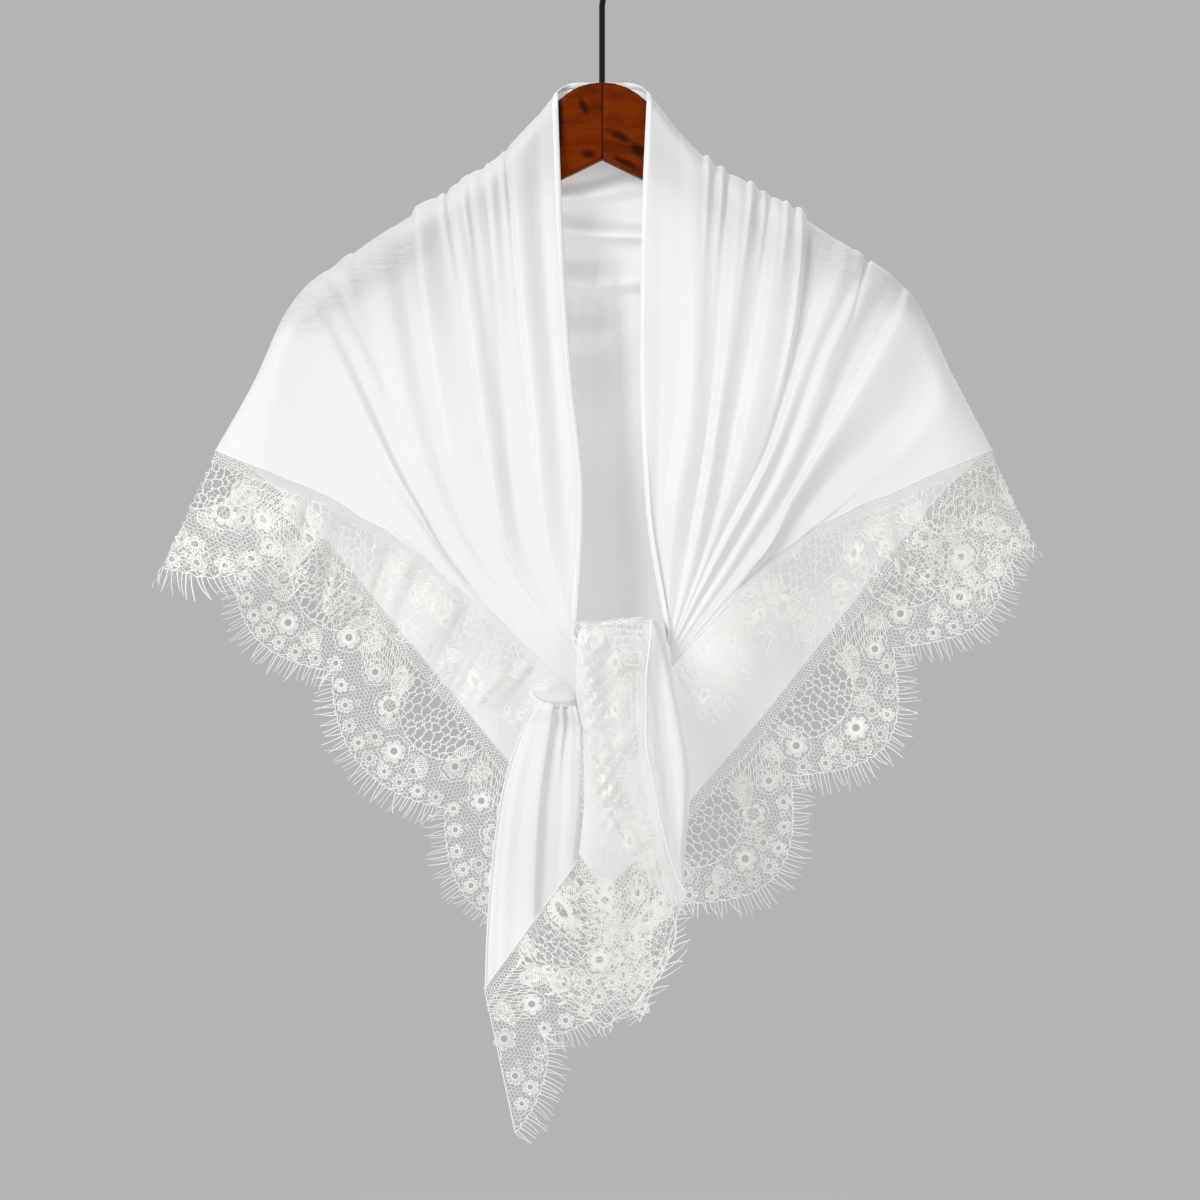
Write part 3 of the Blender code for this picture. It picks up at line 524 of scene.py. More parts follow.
FAN_LINK_THREAD = 0.28      # radii of the threads
FAN_THREAD = 0.39
CORD_THREAD = 0.34
EDGE_THREAD = 0.30
EDGE_BUMP = 1.3
LEAF_THREAD = 0.24
LASH_THREAD = 0.27
UNEVEN = 0.3                # of the netting, as a share of its pitch
THREAD_RISE = 0.7           # of a raised thread's middle, as a share of its half width
VEILED = 6.5                # flowers larger than this have a second outline
EYELET_THREAD = 0.26
PETAL_THREAD = 0.31
RIM_THREAD = 0.32
RIM_WIDTH = 0.10            # from a flower's hole to its rim, as a share of its radius
PETAL_CORD = 0.97           # place of the petals' cord, as a share of their outline
PETAL_POINTS = 6            # of the outline of one petal
EYELETS_FROM = 5            # flowers with more petals than this have eyelets beside them
STITCH_LIFT = 0.05          # of threads off the net, so that they don't meet it
CORD_LIFT = 0.1
ARC_LIFT = 0.15
RIM_LIFT = 0.2
SPARSE_STITCH = 0.15        # stitches of a petal, in the thinnest flowers and the fullest
FULL_STITCH = 0.35
FLOWER_OVERLAP = 0.85       # of two radii, below which a second flower is left out
FLOWER_ROOM = 2.0           # between a flower and the edge
NET_UNDER = 0.8             # share of a flower under which there is no net
NETTED_HOLE = 0.4           # holes larger than this share hold net
SHORTEST_THREAD = 0.15
# Kinds of net: zone, pitch, stretch away from the seam, slant in degrees from
# the seam's square, and radius of its threads.
NETTING = (
    # zone      pitch  stretch  slant  thread
    ("net",      2.75,  1.0,     0.0,  0.13),
    ("heading",  2.2,   1.0,     0.0,  0.19),
    ("slits",    2.4,   2.6,    38.0,  0.26),
)

# Large open fan in the middle of a lobe: distance from the notch and from the
# seam, and half sizes along and out.
FANS = (
    # along   out    half_along  half_out
    (64.0,    8.0,   35.0,       35.0),
)
# Stretches of slanting slits between the fans, given the same way.
SLITS = (
    # along   out    half_along  half_out
    (7.0,     8.0,   19.0,       26.0),
)
# Flowers of a lobe: distance from the notch, from the seam (positive) or from
# the border (negative), radius, number of petals and hole as a share of it.
FLOWERS = (
    # along   out    radius  petals  hole
    (97.0,   30.0,   7.8,    6,      0.26),
    (36.0,   38.0,   7.8,    7,      0.50),
    (62.0,  -23.5,   8.2,    7,      0.24),
    (12.0,   31.0,   6.8,    6,      0.28),
    (81.0,  -20.5,   6.2,    6,      0.30),
    (46.0,  -20.0,   6.0,    6,      0.30),
    (110.0,  17.0,   6.0,    6,      0.28),
    (24.0,   18.0,   4.8,    5,      0.30),
    (4.0,   -8.0,    4.8,    6,      0.30),
    (16.5,  -9.0,    5.4,    6,      0.30),
    (29.0,  -7.6,    4.8,    5,      0.30),
    (42.0,  -8.2,    5.0,    6,      0.30),
    (55.0,  -7.8,    5.6,    6,      0.30),
    (68.5,  -8.4,    4.8,    5,      0.30),
    (81.0,  -8.0,    5.4,    6,      0.30),
    (93.5,  -8.6,    5.0,    6,      0.30),
    (105.0, -8.2,    5.4,    5,      0.30),
)
# Hatched leaves of a lobe: distance from the notch and from the seam, length,
# half width and direction in degrees from the seam.
LEAVES = (
    # along   out    length  half   direction
    (20.0,   14.0,   26.0,   5.5,    48.0),
    (0.0,    12.0,   20.0,   4.5,   110.0),
    (30.0,   12.0,   17.0,   4.0,    78.0),
    (98.0,   12.0,   16.0,   4.5,   125.0),
    (76.0,   44.0,   16.0,   4.5,    35.0),
    (50.0,   42.0,   14.0,   4.0,   140.0),
)
# Direction of the side fold in the plane of the garment, and the first notch
# down the back from it.
SIDE_FOLD = {-1: (-0.417, -0.909), 1: (0.400, -0.917)}
FIRST_NOTCH = {-1: 60.0, 1: 28.0}
# How the front lace hangs: share along the seam, sideways lean, share of its
# width that shows, and rise of its waves.
FRONT_LACE = (
    # share   sway   length  ruffle
    (0.00,    0.00,   1.00,    0.0),
    (0.20,    0.02,   1.00,    9.0),
    (0.45,   -0.10,   0.92,   10.0),
    (0.70,   -0.25,   0.80,    5.0),
    (1.00,   -0.45,   0.55,    1.0),
)
LACE_NEAR_FOLD = 60.0       # within this distance the lace turns round the side fold
LACE_TURN_RADIUS = 28.0
LACE_SETTLING = 30.0        # the lace leaves the cloth's depth over this distance
RUFFLE_WAVE = 19.0          # along the seam, per radian of the front lace's waves
RUFFLE_DRIFT = 47.0         # slower wave that makes the first one uneven
RUFFLE_FORWARD = 0.6        # share of their rise by which these stand forwards
CRIMP = 4.4                 # small folds of the front lace and how much they lift its edge
CRIMP_LIFT = 1.2
CRIMP_SIDEWAYS = 0.6
CRIMP_START = 0.12          # shares over which they start and end, and distances out
CRIMP_END = 0.25
CRIMP_OUT = 20.0
CRIMP_LIFT_OUT = 50.0
RIPPLE = 1.1                # finer folds between those
RIPPLE_OUT = 15.0
SEAM_WINDOW = 6.0           # the seam's direction is taken over this far each way
SEAM_START = 12.0           # and its first direction over this far
SEAM_POINTS = 160           # of the seam, crowded at the side fold by this power
SEAM_CROWD = 1.4
FRONT_LACE_FREE = 0.25      # share of the seam over which the front lace turns to hang
FRONT_LACE_END = 0.985
MITRE_START = 0.93          # the back lace turns the corner from here
MITRE_LENGTHENING = 0.26
CORNER_TRIM = 0.60          # lashes are shorter by this round the back's corner
CORNER_START = 0.80
SHEAR_REACH = 100.0         # front and back patterns meet at the fold within this


def seam_curve(side, layer):
    """Points of the seam from the side fold, and the length along it."""
    run = np.linspace(0.0, 1.0, SEAM_POINTS) ** SEAM_CROWD
    edge = np.ones(len(run))
    points = (front_point if layer == "front" else back_point)(side, edge, run)
    steps = np.hypot(*np.diff(points[:, [0, 2]], axis=0).T)
    return points, np.concatenate([[0.0], np.cumsum(steps)])


def turned_outward(way, fold):
    """Normals of directions in the plane of the garment, on the fold's side."""
    normals = np.stack([way[..., 1], -way[..., 0]], axis=-1)
    return normals * math.copysign(1.0, float(np.sum(normals * fold, axis=-1).flat[0]))


def unit(way):
    """The same directions at length 1."""
    return way / np.maximum(np.hypot(way[..., 0], way[..., 1]), 1e-9)[..., None]


class Seam:
    """One stretch of the seam, on the front or the back of one side."""

    def __init__(self, side, layer):
        self.side = side
        self.back = layer == "back"
        self.points, self.length = seam_curve(side, layer)
        self.end = float(self.length[-1])
        self.fold = np.array(SIDE_FOLD[side])
        near = int(np.searchsorted(self.length, SEAM_START))
        self.start_way = unit((self.points[near] - self.points[0])[[0, 2]])
        normal = turned_outward(self.start_way, self.fold)
        self.slant = float(np.dot(self.start_way, self.fold) / np.dot(normal, self.fold))

    def share(self, along, out):
        """Share of the seam from which the lace hangs at (along, out)."""
        share = along / self.end
        lean = self.slant * out
        for _ in range(6):
            miss = share * self.end + lean * (1.0 - share) ** 3 - along
            share = share - miss / (self.end - 3.0 * lean * (1.0 - share) ** 2)
        return np.clip(share, 0.0, 1.0)

    def on_seam(self, along, axes=(0, 1, 2)):
        """Points of the seam itself."""
        return np.stack([np.interp(along, self.length, self.points[:, k]) for k in axes], axis=-1)

    def mitred(self, share, normals):
        """Way the back's lace lies, turned down and lengthened at the corner."""
        mitre = rising(share, MITRE_START, 1.0 - MITRE_START)[..., None]
        way = unit(normals * (1.0 - mitre) + np.array([0.0, -1.0]) * mitre)
        return way * (1.0 + MITRE_LENGTHENING * mitre)

    def hanging(self, share, normals):
        """Way the front's lace lies, from square to its seam to hanging down."""
        sway = smooth(FRONT_LACE, 1, share)
        down = unit(np.stack([self.side * -sway, -np.ones_like(sway)], axis=-1))
        free = ease(share / FRONT_LACE_FREE)[..., None]
        return unit(normals * (1.0 - free) + down * free) * smooth(FRONT_LACE, 2, share)[..., None]

    @staticmethod
    def ruffle(share, along, out):
        """Shift of the front's lace in its waves, small folds and ripples."""
        wave = np.sin(along / RUFFLE_WAVE + 1.1 * np.sin(along / RUFFLE_DRIFT))
        lean = smooth(FRONT_LACE, 3, share) * (wave - RUFFLE_FORWARD) * ease(out / LACE_PEAK)
        crimp = along / 5.2 + 1.2 * np.sin(along / 11.0) + out / 17.0
        full = (CRIMP * ease(share / CRIMP_START) * falling(share, 1.0, CRIMP_END)
                * ease(out / CRIMP_OUT) * (0.65 + 0.35 * np.sin(along / 14.0 + 2.0)))
        lean += full * np.sin(crimp)
        ripple = np.sin(along / 1.9 + 0.8 * np.sin(along / 7.0) + out / 9.0)
        lean += (RIPPLE * ripple * ease(out / RIPPLE_OUT)
                 * (0.6 + 0.4 * np.sin(along / 23.0 + out / 13.0)))
        aside = CRIMP_SIDEWAYS * full * np.cos(crimp)
        lifted = CRIMP_LIFT * full * np.sin(crimp + 0.8) * ease(out / CRIMP_LIFT_OUT)
        return aside, lean, lifted

    def point(self, along, out):
        """Points of the lace at a distance along the seam and out from it."""
        share = self.share(along, out)
        place = self.on_seam(along)
        place[..., [0, 2]] += np.minimum(along, 0.0)[..., None] * self.start_way
        ahead = self.on_seam(np.clip(along, 0.0, None) + SEAM_WINDOW, (0, 2))
        behind = self.on_seam(np.clip(along, SEAM_WINDOW, None) - SEAM_WINDOW, (0, 2))
        normals = turned_outward(unit(ahead - behind), self.fold)
        if self.back:
            hang, lean = self.mitred(share, normals), 0.0
        else:
            hang = self.hanging(share, normals)
            aside, lean, lifted = self.ruffle(share, along, out)
            place[..., 0] += aside
            place[..., 2] += lifted
        place[..., [0, 2]] += hang * out[..., None]
        start, fold = self.points[0], self.fold
        level = place[..., 0] - start[0]
        from_fold = np.abs(level - (place[..., 2] - start[2]) * fold[0] / fold[1])
        depth = roll_over(from_fold, LACE_TURN_RADIUS)[0] * (1.0 if self.back else -1.0)
        near = ease(1.0 - from_fold / LACE_NEAR_FOLD) * ease(out / LACE_SETTLING)
        place[..., 1] = place[..., 1] * (1.0 - near) + depth * near + lean
        return place


def ring_place(front, back):
    """Place of the lace on one side, from the front (negative) to the back."""
    def place(along, out):
        meeting = back.slant * out
        squeeze = (SHEAR_REACH - front.slant * out) / (SHEAR_REACH + meeting)
        near = np.clip(meeting - along, 0.0, SHEAR_REACH + meeting)
        far = np.maximum(meeting - along - near, 0.0)
        forward = front.point(front.slant * out + near * squeeze + far, out)
        backward = back.point(np.maximum(along, meeting), out)
        return np.where((along >= meeting)[..., None], backward, forward)
    return place


def ring_edge(side, back):
    """Scalloped width of the lace along one side; a lobe rounds the back's corner."""
    first, notch = FIRST_NOTCH[side], LOBE_NOTCH[side]

    def edge(along):
        second = first + SCALLOP_PITCH
        moved = along - NOTCH_SHIFT[side] * ease(1.0 - np.abs(along - second) / SCALLOP_PITCH)
        part = ((moved - first) / SCALLOP_PITCH) % 1.0
        width = notch + (LOBE_PEAK[side] - notch) * np.sin(math.pi * part) ** LOBE_POWER[side]
        width = width + FOLD_LOBE[side] * np.exp(-((along - FOLD_MIDDLE) / FOLD_REACH) ** 2)
        at_corner = rising(along / back.end, MITRE_START, 1.0 - MITRE_START)
        return width + (LACE_PEAK - width) * at_corner
    return edge


class Lace:
    """Lace given by the place of each flat point (along, out) and by its edge.

    The threads are set out flat and then laid on a fine table of places. A cut
    is where the lace ends in a slanting line: its start and its slant.
    """

    def __init__(self, place, first, last, edge, notch, inside_out, cut=None):
        self.first, self.last, self.edge = first, last, edge
        self.notch, self.flip, self.cut = notch, inside_out, cut
        self.deepest = float(edge(np.linspace(first, last, 800)).max())
        self.s = np.arange(first - END_MARGIN, last + END_MARGIN + PLACE_STEP, PLACE_STEP)
        self.t = np.arange(0.0, self.deepest + LASH_LENGTH * LASH_ROOM, PLACE_STEP)
        held = np.clip(self.s, first, last)
        self.table = place(*np.meshgrid(held, self.t, indexing="ij"))
        ahead = np.gradient(self.table, self.s, axis=0)[2]
        self.table += (self.s - held)[:, None, None] * ahead
        normal = np.cross(np.gradient(self.table, axis=0), np.gradient(self.table, axis=1))
        normal /= np.maximum(np.linalg.norm(normal, axis=-1), 1e-9)[..., None]
        self.normal = -normal if inside_out else normal
        self.fans, self.slits = list(self.lobes(FANS)), list(self.lobes(SLITS))
        self.leaves = [row for row in self.lobes(LEAVES) if self.kept(self.leaf_sides(*row)).all()]
        self.flowers = self.placed_flowers()
        self.clear()

    def clear(self):
        """Start a new mesh."""
        self.points, self.quads, self.count = [], [], 0

    def take(self, name):
        """Everything added since the last mesh, as one mesh."""
        points, quads = np.concatenate(self.points), np.concatenate(self.quads)
        self.clear()
        return quad_mesh(name, points, quads, smooth=False)

    def at(self, flat, lift):
        """Places of flat points, raised off the lace by lift."""
        s = np.clip((flat[..., 0] - self.s[0]) / PLACE_STEP, 0.0, len(self.s) - 1.001)
        t = np.clip((flat[..., 1] - self.t[0]) / PLACE_STEP, 0.0, len(self.t) - 1.001)
        i, j = s.astype(int), t.astype(int)
        u, v = (s - i)[..., None], (t - j)[..., None]
        result = 0.0
        for di, dj, weight in ((0, 0, (1 - u) * (1 - v)), (1, 0, u * (1 - v)),
                               (0, 1, (1 - u) * v), (1, 1, u * v)):
            corner = self.table[i + di, j + dj] + self.normal[i + di, j + dj] * lift[..., None]
            result = result + weight * corner
        return result

    def cords(self, paths, radii, raised=False, closed=False, lift=0.0):
        """Flat threads along paths of flat points, all with as many points."""
        if closed:
            way = unit(np.roll(paths, -1, axis=1) - np.roll(paths, 1, axis=1))
        else:
            way = unit(np.gradient(paths, axis=1))
        across = np.stack([-way[..., 1], way[..., 0]], axis=-1)
        radii = np.broadcast_to(radii, paths.shape[:2])[..., None]
        lift = np.broadcast_to(lift, paths.shape[:2])[..., None]
        places = np.array([-1.0, 0.0, 1.0] if raised else [-1.0, 1.0])
        flat = paths[:, :, None] + across[:, :, None] * (radii * places)[..., None]
        lift = radii * THREAD_RISE * (1.0 - np.abs(places)) + lift
        many, long = paths.shape[:2]
        steps, wide = long if closed else long - 1, len(places)
        m, n, k = np.meshgrid(np.arange(many), np.arange(steps), np.arange(wide - 1), indexing="ij")
        here = (m * long + n) * wide + k
        there = (m * long + (n + 1) % long) * wide + k
        quads = np.stack([here, there, there + 1, here + 1], axis=-1).reshape(-1, 4)
        self.points.append(self.at(flat.reshape(-1, 2), lift.ravel()))
        self.quads.append((quads[:, ::-1] if self.flip else quads) + self.count)
        self.count += len(self.points[-1])

    def kept(self, flat):
        """Whether flat points lie within the lace's slanting end, if it has one."""
        if self.cut is None:
            return np.ones(flat.shape[:-1], bool)
        start, slant = self.cut
        return (start + slant * flat[..., 1] - flat[..., 0]) * slant > 0.0

    def inside(self, path):
        """Whether a whole path lies within the lace and its border."""
        return self.kept(path).all() and (path[:, 1] < self.edge(path[:, 0]) - BORDER).all()

    def lobes(self, rows):
        """Rows of a table of motifs, moved to each lobe of the lace."""
        lowest = int(math.floor((self.first - self.notch) / SCALLOP_PITCH)) - 1
        highest = int(math.ceil((self.last - self.notch) / SCALLOP_PITCH)) + 1
        for lobe in range(lowest, highest):
            for row in rows:
                along = self.notch + lobe * SCALLOP_PITCH + row[0]
                if self.first + END_MARGIN < along < self.last - END_MARGIN:
                    yield (along, *row[1:])

    def placed_flowers(self):
        """Flowers of the lace that have room, in flat coordinates."""
        flowers = []
        for along, out, radius, count, hole in self.lobes(FLOWERS):
            edge = float(self.edge(np.array([along]))[0])
            out = out if out > 0.0 else edge + out
            apart = all(math.hypot(along - c[0], out - c[1]) > FLOWER_OVERLAP * (radius + r)
                        for c, r, _, _ in flowers)
            if apart and HEADING < out < edge - radius - FLOWER_ROOM:
                flowers.append((np.array([along, out]), radius, count, hole))
        return [row for row in flowers if self.kept(row[0])]

    def flower(self, centre, radius, count, hole):
        """Worked flower: stitched petals round a corded hole, with eyelets beside it."""
        first = 2.1 * centre[0] + 0.7 * centre[1]
        turn = full_turn(PETAL_POINTS * count)
        petal = np.abs(np.sin(turn * count / 2.0)) ** 0.55
        uneven = 1.0 + 0.07 * np.sin(turn + first) + 0.05 * np.sin(2.0 * turn - first)
        way = np.stack([np.cos(turn + first), np.sin(turn + first)], axis=-1)
        outline = radius * ((0.60 + 0.40 * petal) * uneven)[:, None] * way
        rim = radius * (hole + RIM_WIDTH) * way
        solid = abs(math.sin(5.3 * first)) ** 1.5
        stitch = SPARSE_STITCH + (FULL_STITCH - SPARSE_STITCH) * solid
        apart = 1 if radius > VEILED else 2
        self.cords(centre + np.stack([rim, outline], axis=1)[::apart], stitch, lift=STITCH_LIFT)
        self.cords((centre + outline * PETAL_CORD)[None], PETAL_THREAD, True, True, CORD_LIFT)
        self.cords((centre + rim)[None], RIM_THREAD, True, True, RIM_LIFT)
        if radius > VEILED:
            veil = radius * (1.22 + 0.16 * petal * uneven)
            self.ring(centre + veil[:, None] * way, LEAF_THREAD)
        for eyelet in range(count - EYELETS_FROM):
            angle = first + 2.4 * eyelet
            away = radius * 1.3 + 1.5
            middle = centre + away * np.array([math.cos(angle), math.sin(angle)])
            size = 1.2 + 0.5 * abs(math.sin(first + 1.7 * eyelet))
            turn = full_turn(8)
            circle = np.stack([np.cos(turn), np.sin(turn)], axis=-1)
            self.ring(middle + size * circle, EYELET_THREAD)

    def ring(self, path, radius):
        """Closed thread, where all of it lies within the lace."""
        if self.inside(path) and (path[:, 1] > 0.0).all():
            self.cords(path[None], radius, True, True, CORD_LIFT)

    def in_zone(self, zone, flat):
        """Whether flat points lie in the heading, in the slits or in the fine net."""
        if zone == "heading":
            return flat[:, 1] < HEADING
        below = flat[:, 1] > HEADING - 0.5
        if zone == "slits":
            return in_fan(flat, self.slits, 0.4) & ~in_fan(flat, self.fans, -0.3) & below
        return ~in_fan(flat, self.fans + self.slits, -0.5) & below

    def net(self, first, last):
        """Fine net, dense heading and slits, between two places along."""
        for zone, pitch, stretch, slant, radius in NETTING:
            bottom = HEADING + 2.0 if zone == "heading" else self.deepest
            starts, ends = (wobble(side, UNEVEN * pitch)
                            for side in honeycomb(first, last, bottom, pitch, stretch, slant))
            middle = (starts + ends) / 2.0
            keep = (middle[:, 0] >= first) & (middle[:, 0] < last) & (middle[:, 1] > 0.0)
            keep &= middle[:, 1] < self.edge(middle[:, 0]) - BORDER
            keep &= self.kept(middle) & self.in_zone(zone, middle)
            for centre, size, _, hole in self.flowers:
                away = np.hypot(*(middle - centre).T) / size
                keep &= (away > NET_UNDER) | ((away < hole) & (hole > NETTED_HOLE))
            threads = np.stack([starts[keep], ends[keep]], axis=1)
            threads[..., 1] = np.clip(threads[..., 1], 0.0, self.edge(threads[..., 0]) - BORDER)
            threads = threads[np.hypot(*(threads[:, 1] - threads[:, 0]).T) > SHORTEST_THREAD]
            self.cords(threads, radius)

    def fan(self, along, out, half_along, half_out):
        """Open fan: wavy threads that run outwards, linked where they meet."""
        count = int(2.0 * half_along / FAN_PITCH)
        strands = np.arange(count)[:, None]
        place = along + (strands + 0.5 - count / 2.0) * FAN_PITCH
        dome = np.sqrt(np.clip(1.0 - ((place - along) / half_along) ** 2, 0.02, 1.0))
        reach = out + half_out * dome
        part = np.linspace(0.0, 1.0, FAN_POINTS)[None, :]
        down = out - 1.0 + (reach - out + 1.0) * part
        turn = (2.0 * math.pi * down / FAN_CELL + math.pi * strands
                + 1.3 * np.sin(down / 5.3 + place / 6.0))
        sway = FAN_SWAY * (0.7 + 0.6 * np.sin(down / 4.1 + 2.3 * place))
        drift = 0.9 * np.sin(down / 9.0 + place / 3.1)
        paths = wobble(np.stack([place + sway * np.sin(turn) + drift, down], axis=-1), 1.0)
        held = np.array([self.inside(path) for path in paths])
        if held.any():
            self.cords(paths[held], FAN_THREAD * draw_width(paths[held]), raised=True)
        links = []
        for lower in range(count - 1):
            path, other = paths[lower], paths[lower + 1]
            across = np.interp(down[lower], down[lower + 1], np.sin(turn[lower + 1]))
            nearer = np.sin(turn[lower]) - across
            peaks = (nearer[1:-1] > nearer[:-2]) & (nearer[1:-1] >= nearer[2:])
            for start in path[np.flatnonzero(peaks) + 1]:
                if start[1] < reach[lower + 1, 0]:
                    end = (np.interp(start[1], other[:, 1], other[:, 0]), start[1] + FAN_LINK_DROP)
                    links.append((start, end))
        links = np.array(links)
        links = links[self.kept(links).all(axis=1)]
        if len(links):
            self.cords(bowed(links), FAN_LINK_THREAD, raised=True)
        turn = np.linspace(-0.05, math.pi + 0.05, 30)
        cord = np.stack([along + half_along * np.cos(turn), out + half_out * np.sin(turn)], axis=-1)
        cord = cord[self.kept(cord)]
        if len(cord) > 2:
            self.cords(cord[None], CORD_THREAD, raised=True, lift=ARC_LIFT)

    def leaf_sides(self, along, out, length, half, direction):
        """Both outlines of a leaf."""
        way = np.array([math.cos(math.radians(direction)), math.sin(math.radians(direction))])
        across = np.array([-way[1], way[0]])
        part = np.linspace(0.0, 1.0, max(8, int(length / 1.2)))[:, None]
        spine = np.array([along, out]) + way * part * length
        swell = across * half * np.sin(math.pi * part ** 0.8) ** 0.8
        sides = np.stack([spine + swell, spine - swell])
        sides[..., 1] = np.clip(sides[..., 1], 0.0, self.edge(sides[..., 0]) - BORDER)
        return sides

    def leaf(self, *row):
        """Outlined leaf filled with slanting stitches."""
        sides = self.leaf_sides(*row)
        self.cords(sides[:, ::2], LEAF_THREAD, raised=True, lift=ARC_LIFT)
        self.cords(np.stack([sides[0, :-1], sides[1, 1:]], axis=1), LEAF_THREAD, lift=STITCH_LIFT)

    def border(self, first, last):
        """Double cord along the free edge, with eyelets between."""
        along = np.linspace(first, last, int((last - first) / 1.0) | 1)
        edge = self.edge(along)
        loops = 0.62 + 0.38 * np.cos(along * 2.0 * math.pi / LOOP_PITCH)
        arches = np.sin(math.pi * along / LOOP_PITCH + 0.6 * np.sin(along / 13.0))
        bumps = EDGE_BUMP * (1.0 - np.abs(arches))
        for out, radius in ((edge - bumps, EDGE_THREAD), (edge - BORDER * loops, LEAF_THREAD)):
            line = np.stack([along, out], axis=-1)
            self.cords(line[self.kept(line)][None], radius, raised=True, lift=CORD_LIFT)
        if self.cut is not None:
            start, slant = self.cut
            out = np.linspace(0.0, self.deepest, 60)
            end = np.stack([start + slant * out, out], axis=-1)
            end = end[out < self.edge(end[:, 0])]
            self.cords(end[None], CORD_THREAD, raised=True, lift=CORD_LIFT)

    def lace_mesh(self, name, first, last):
        """Net, flowers, leaves, fans and border between two places along."""
        self.net(first, last)
        for row in self.flowers:
            if first <= row[0][0] < last:
                self.flower(*row)
        for rows, work in ((self.leaves, self.leaf), (self.fans, self.fan)):
            for row in rows:
                if first <= row[0] < last:
                    work(*row)
        self.border(first, last)
        return self.take(name)

    def fringe_mesh(self, name, first, last, seed, shown):
        """Fine free threads that stand out from the edge."""
        draw = np.random.default_rng(seed)
        fine = np.linspace(first, last, 4000)
        steps = np.hypot(np.diff(fine), np.diff(self.edge(fine)))
        run = np.concatenate([[0.0], np.cumsum(steps)])
        places = np.arange(0.5, run[-1], LASH_PITCH)
        count = len(places)
        along = np.interp(places + draw.uniform(-0.5, 0.5, count), run, fine)
        slope = (self.edge(along + 4.0) - self.edge(along - 4.0)) / 8.0
        lean = (np.clip(-slope, -LASH_STEEPEST, LASH_STEEPEST) * LASH_LEAN
                + draw.normal(0.0, LASH_ASTRAY, count))
        length = LASH_LENGTH * draw.uniform(*LASH_LENGTHS, count) * shown(along)
        bend = draw.normal(*LASH_BENDS, count)
        base = np.stack([along, self.edge(along)], axis=-1)
        held = self.kept(base)
        base, length, bend = base[held], length[held, None, None], bend[held, None, None]
        way = unit(np.stack([lean, np.ones(len(lean))], axis=-1))[held, None]
        across = np.stack([-way[..., 1], way[..., 0]], axis=-1)
        part = np.linspace(0.0, 1.0, LASH_POINTS)
        paths = (base[:, None] + way * (length * part[:, None])
                 + across * (bend * part[:, None] ** 2))
        count = len(base)
        radii = LASH_THREAD * (1.0 - LASH_TAPER * part) * draw.uniform(*LASH_WIDTHS, (count, 1))
        lift = draw.normal(0.0, LASH_SPREAD, (count, 1)) * part ** 2
        self.cords(paths, radii, raised=True, lift=lift)
        return self.take(name)

    def show(self, name, first, last, seed, shown, thread, lash):
        """Lace and lashes between two places along, as two pieces."""
        add_piece("edging_" + name, self.lace_mesh("edging_" + name, first, last),
                  thread, ["lace_" + name])
        add_piece("lashes_" + name, self.fringe_mesh("lashes_" + name, first, last, seed, shown),
                  lash, ["fringe_" + name])


def draw_width(paths):
    """Small changes of width along threads."""
    return 0.9 + 0.2 * np.sin(1.3 * paths[..., 1] + 0.7 * paths[..., 0])


def bowed(threads):
    """Straight threads bent a little, each to its own side."""
    across = threads[:, 1] - threads[:, 0]
    side = np.sin(7.3 * threads[:, 0, 0] + 3.1 * threads[:, 0, 1])[:, None]
    bend = side * np.stack([-across[:, 1], across[:, 0]], axis=-1)
    part = np.array([0.0, 1.0 / 3.0, 2.0 / 3.0, 1.0])[:, None]
    return threads[:, :1] + across[:, None] * part + 0.9 * bend[:, None] * part * (1.0 - part)


def wobble(points, size):
    """Small smooth unevenness of the netting."""
    x, y = points[..., 0], points[..., 1]
    shift = np.stack([np.sin(0.9 * x + 2.1 * y) + np.sin(2.3 * y - 1.1 * x + 1.0),
                      np.sin(1.7 * x - 0.8 * y + 2.0) + np.sin(2.6 * x + 1.3 * y)], axis=-1)
    return points + size * 0.5 * shift


def honeycomb(first, last, bottom, pitch, stretch, slant):
    """Threads of a six-sided net, leaning by slant degrees: both ends of each."""
    size = pitch / math.sqrt(3.0)
    rise = 1.5 * size * stretch
    lean = math.tan(math.radians(slant))
    columns = np.arange(math.floor((first - lean * bottom) / pitch) - 1,
                        math.ceil(last / pitch) + 2)
    rows = np.arange(-1, math.ceil(bottom / rise) + 2)
    column, row = np.meshgrid(columns, rows, indexing="ij")
    centre = np.stack([(column + 0.5 * (row % 2)) * pitch, row * rise], axis=-1).reshape(-1, 1, 2)
    angle = np.radians(30.0 + 60.0 * np.arange(4))
    corner = centre + size * np.stack([np.cos(angle), np.sin(angle) * stretch], axis=-1)
    corner[..., 0] += lean * corner[..., 1]
    return corner[:, :-1].reshape(-1, 2), corner[:, 1:].reshape(-1, 2)


def in_fan(flat, fans, grow):
    """Whether flat points lie in one of the open fans, made larger by grow."""
    inside = np.zeros(len(flat), bool)
    for along, out, half_along, half_out in fans:
        across = (flat[:, 0] - along) / (half_along + grow)
        down = (flat[:, 1] - out) / (half_out + grow)
        inside |= (across ** 2 + down ** 2 < 1.0) & (down > -0.1)
    return inside


def ring_lace(side, thread, lash):
    """Lace and fringe of one side, on the front and on the back."""
    front, back = Seam(side, "front"), Seam(side, "back")
    lace = Lace(ring_place(front, back), -front.end * FRONT_LACE_END, back.end,
                ring_edge(side, back), FIRST_NOTCH[side], side > 0)

    def trimmed(along):
        at_corner = rising(along / back.end, CORNER_START, 1.0 - CORNER_START)
        return 1.0 - CORNER_TRIM * at_corner

    for part, first, last, seed in (("front_", lace.first, 0.0, FRONT_SEED),
                                    ("back_", 0.0, lace.last, BACK_SEED)):
        lace.show(part + side_name(side), first, last, seed, trimmed, thread, lash)


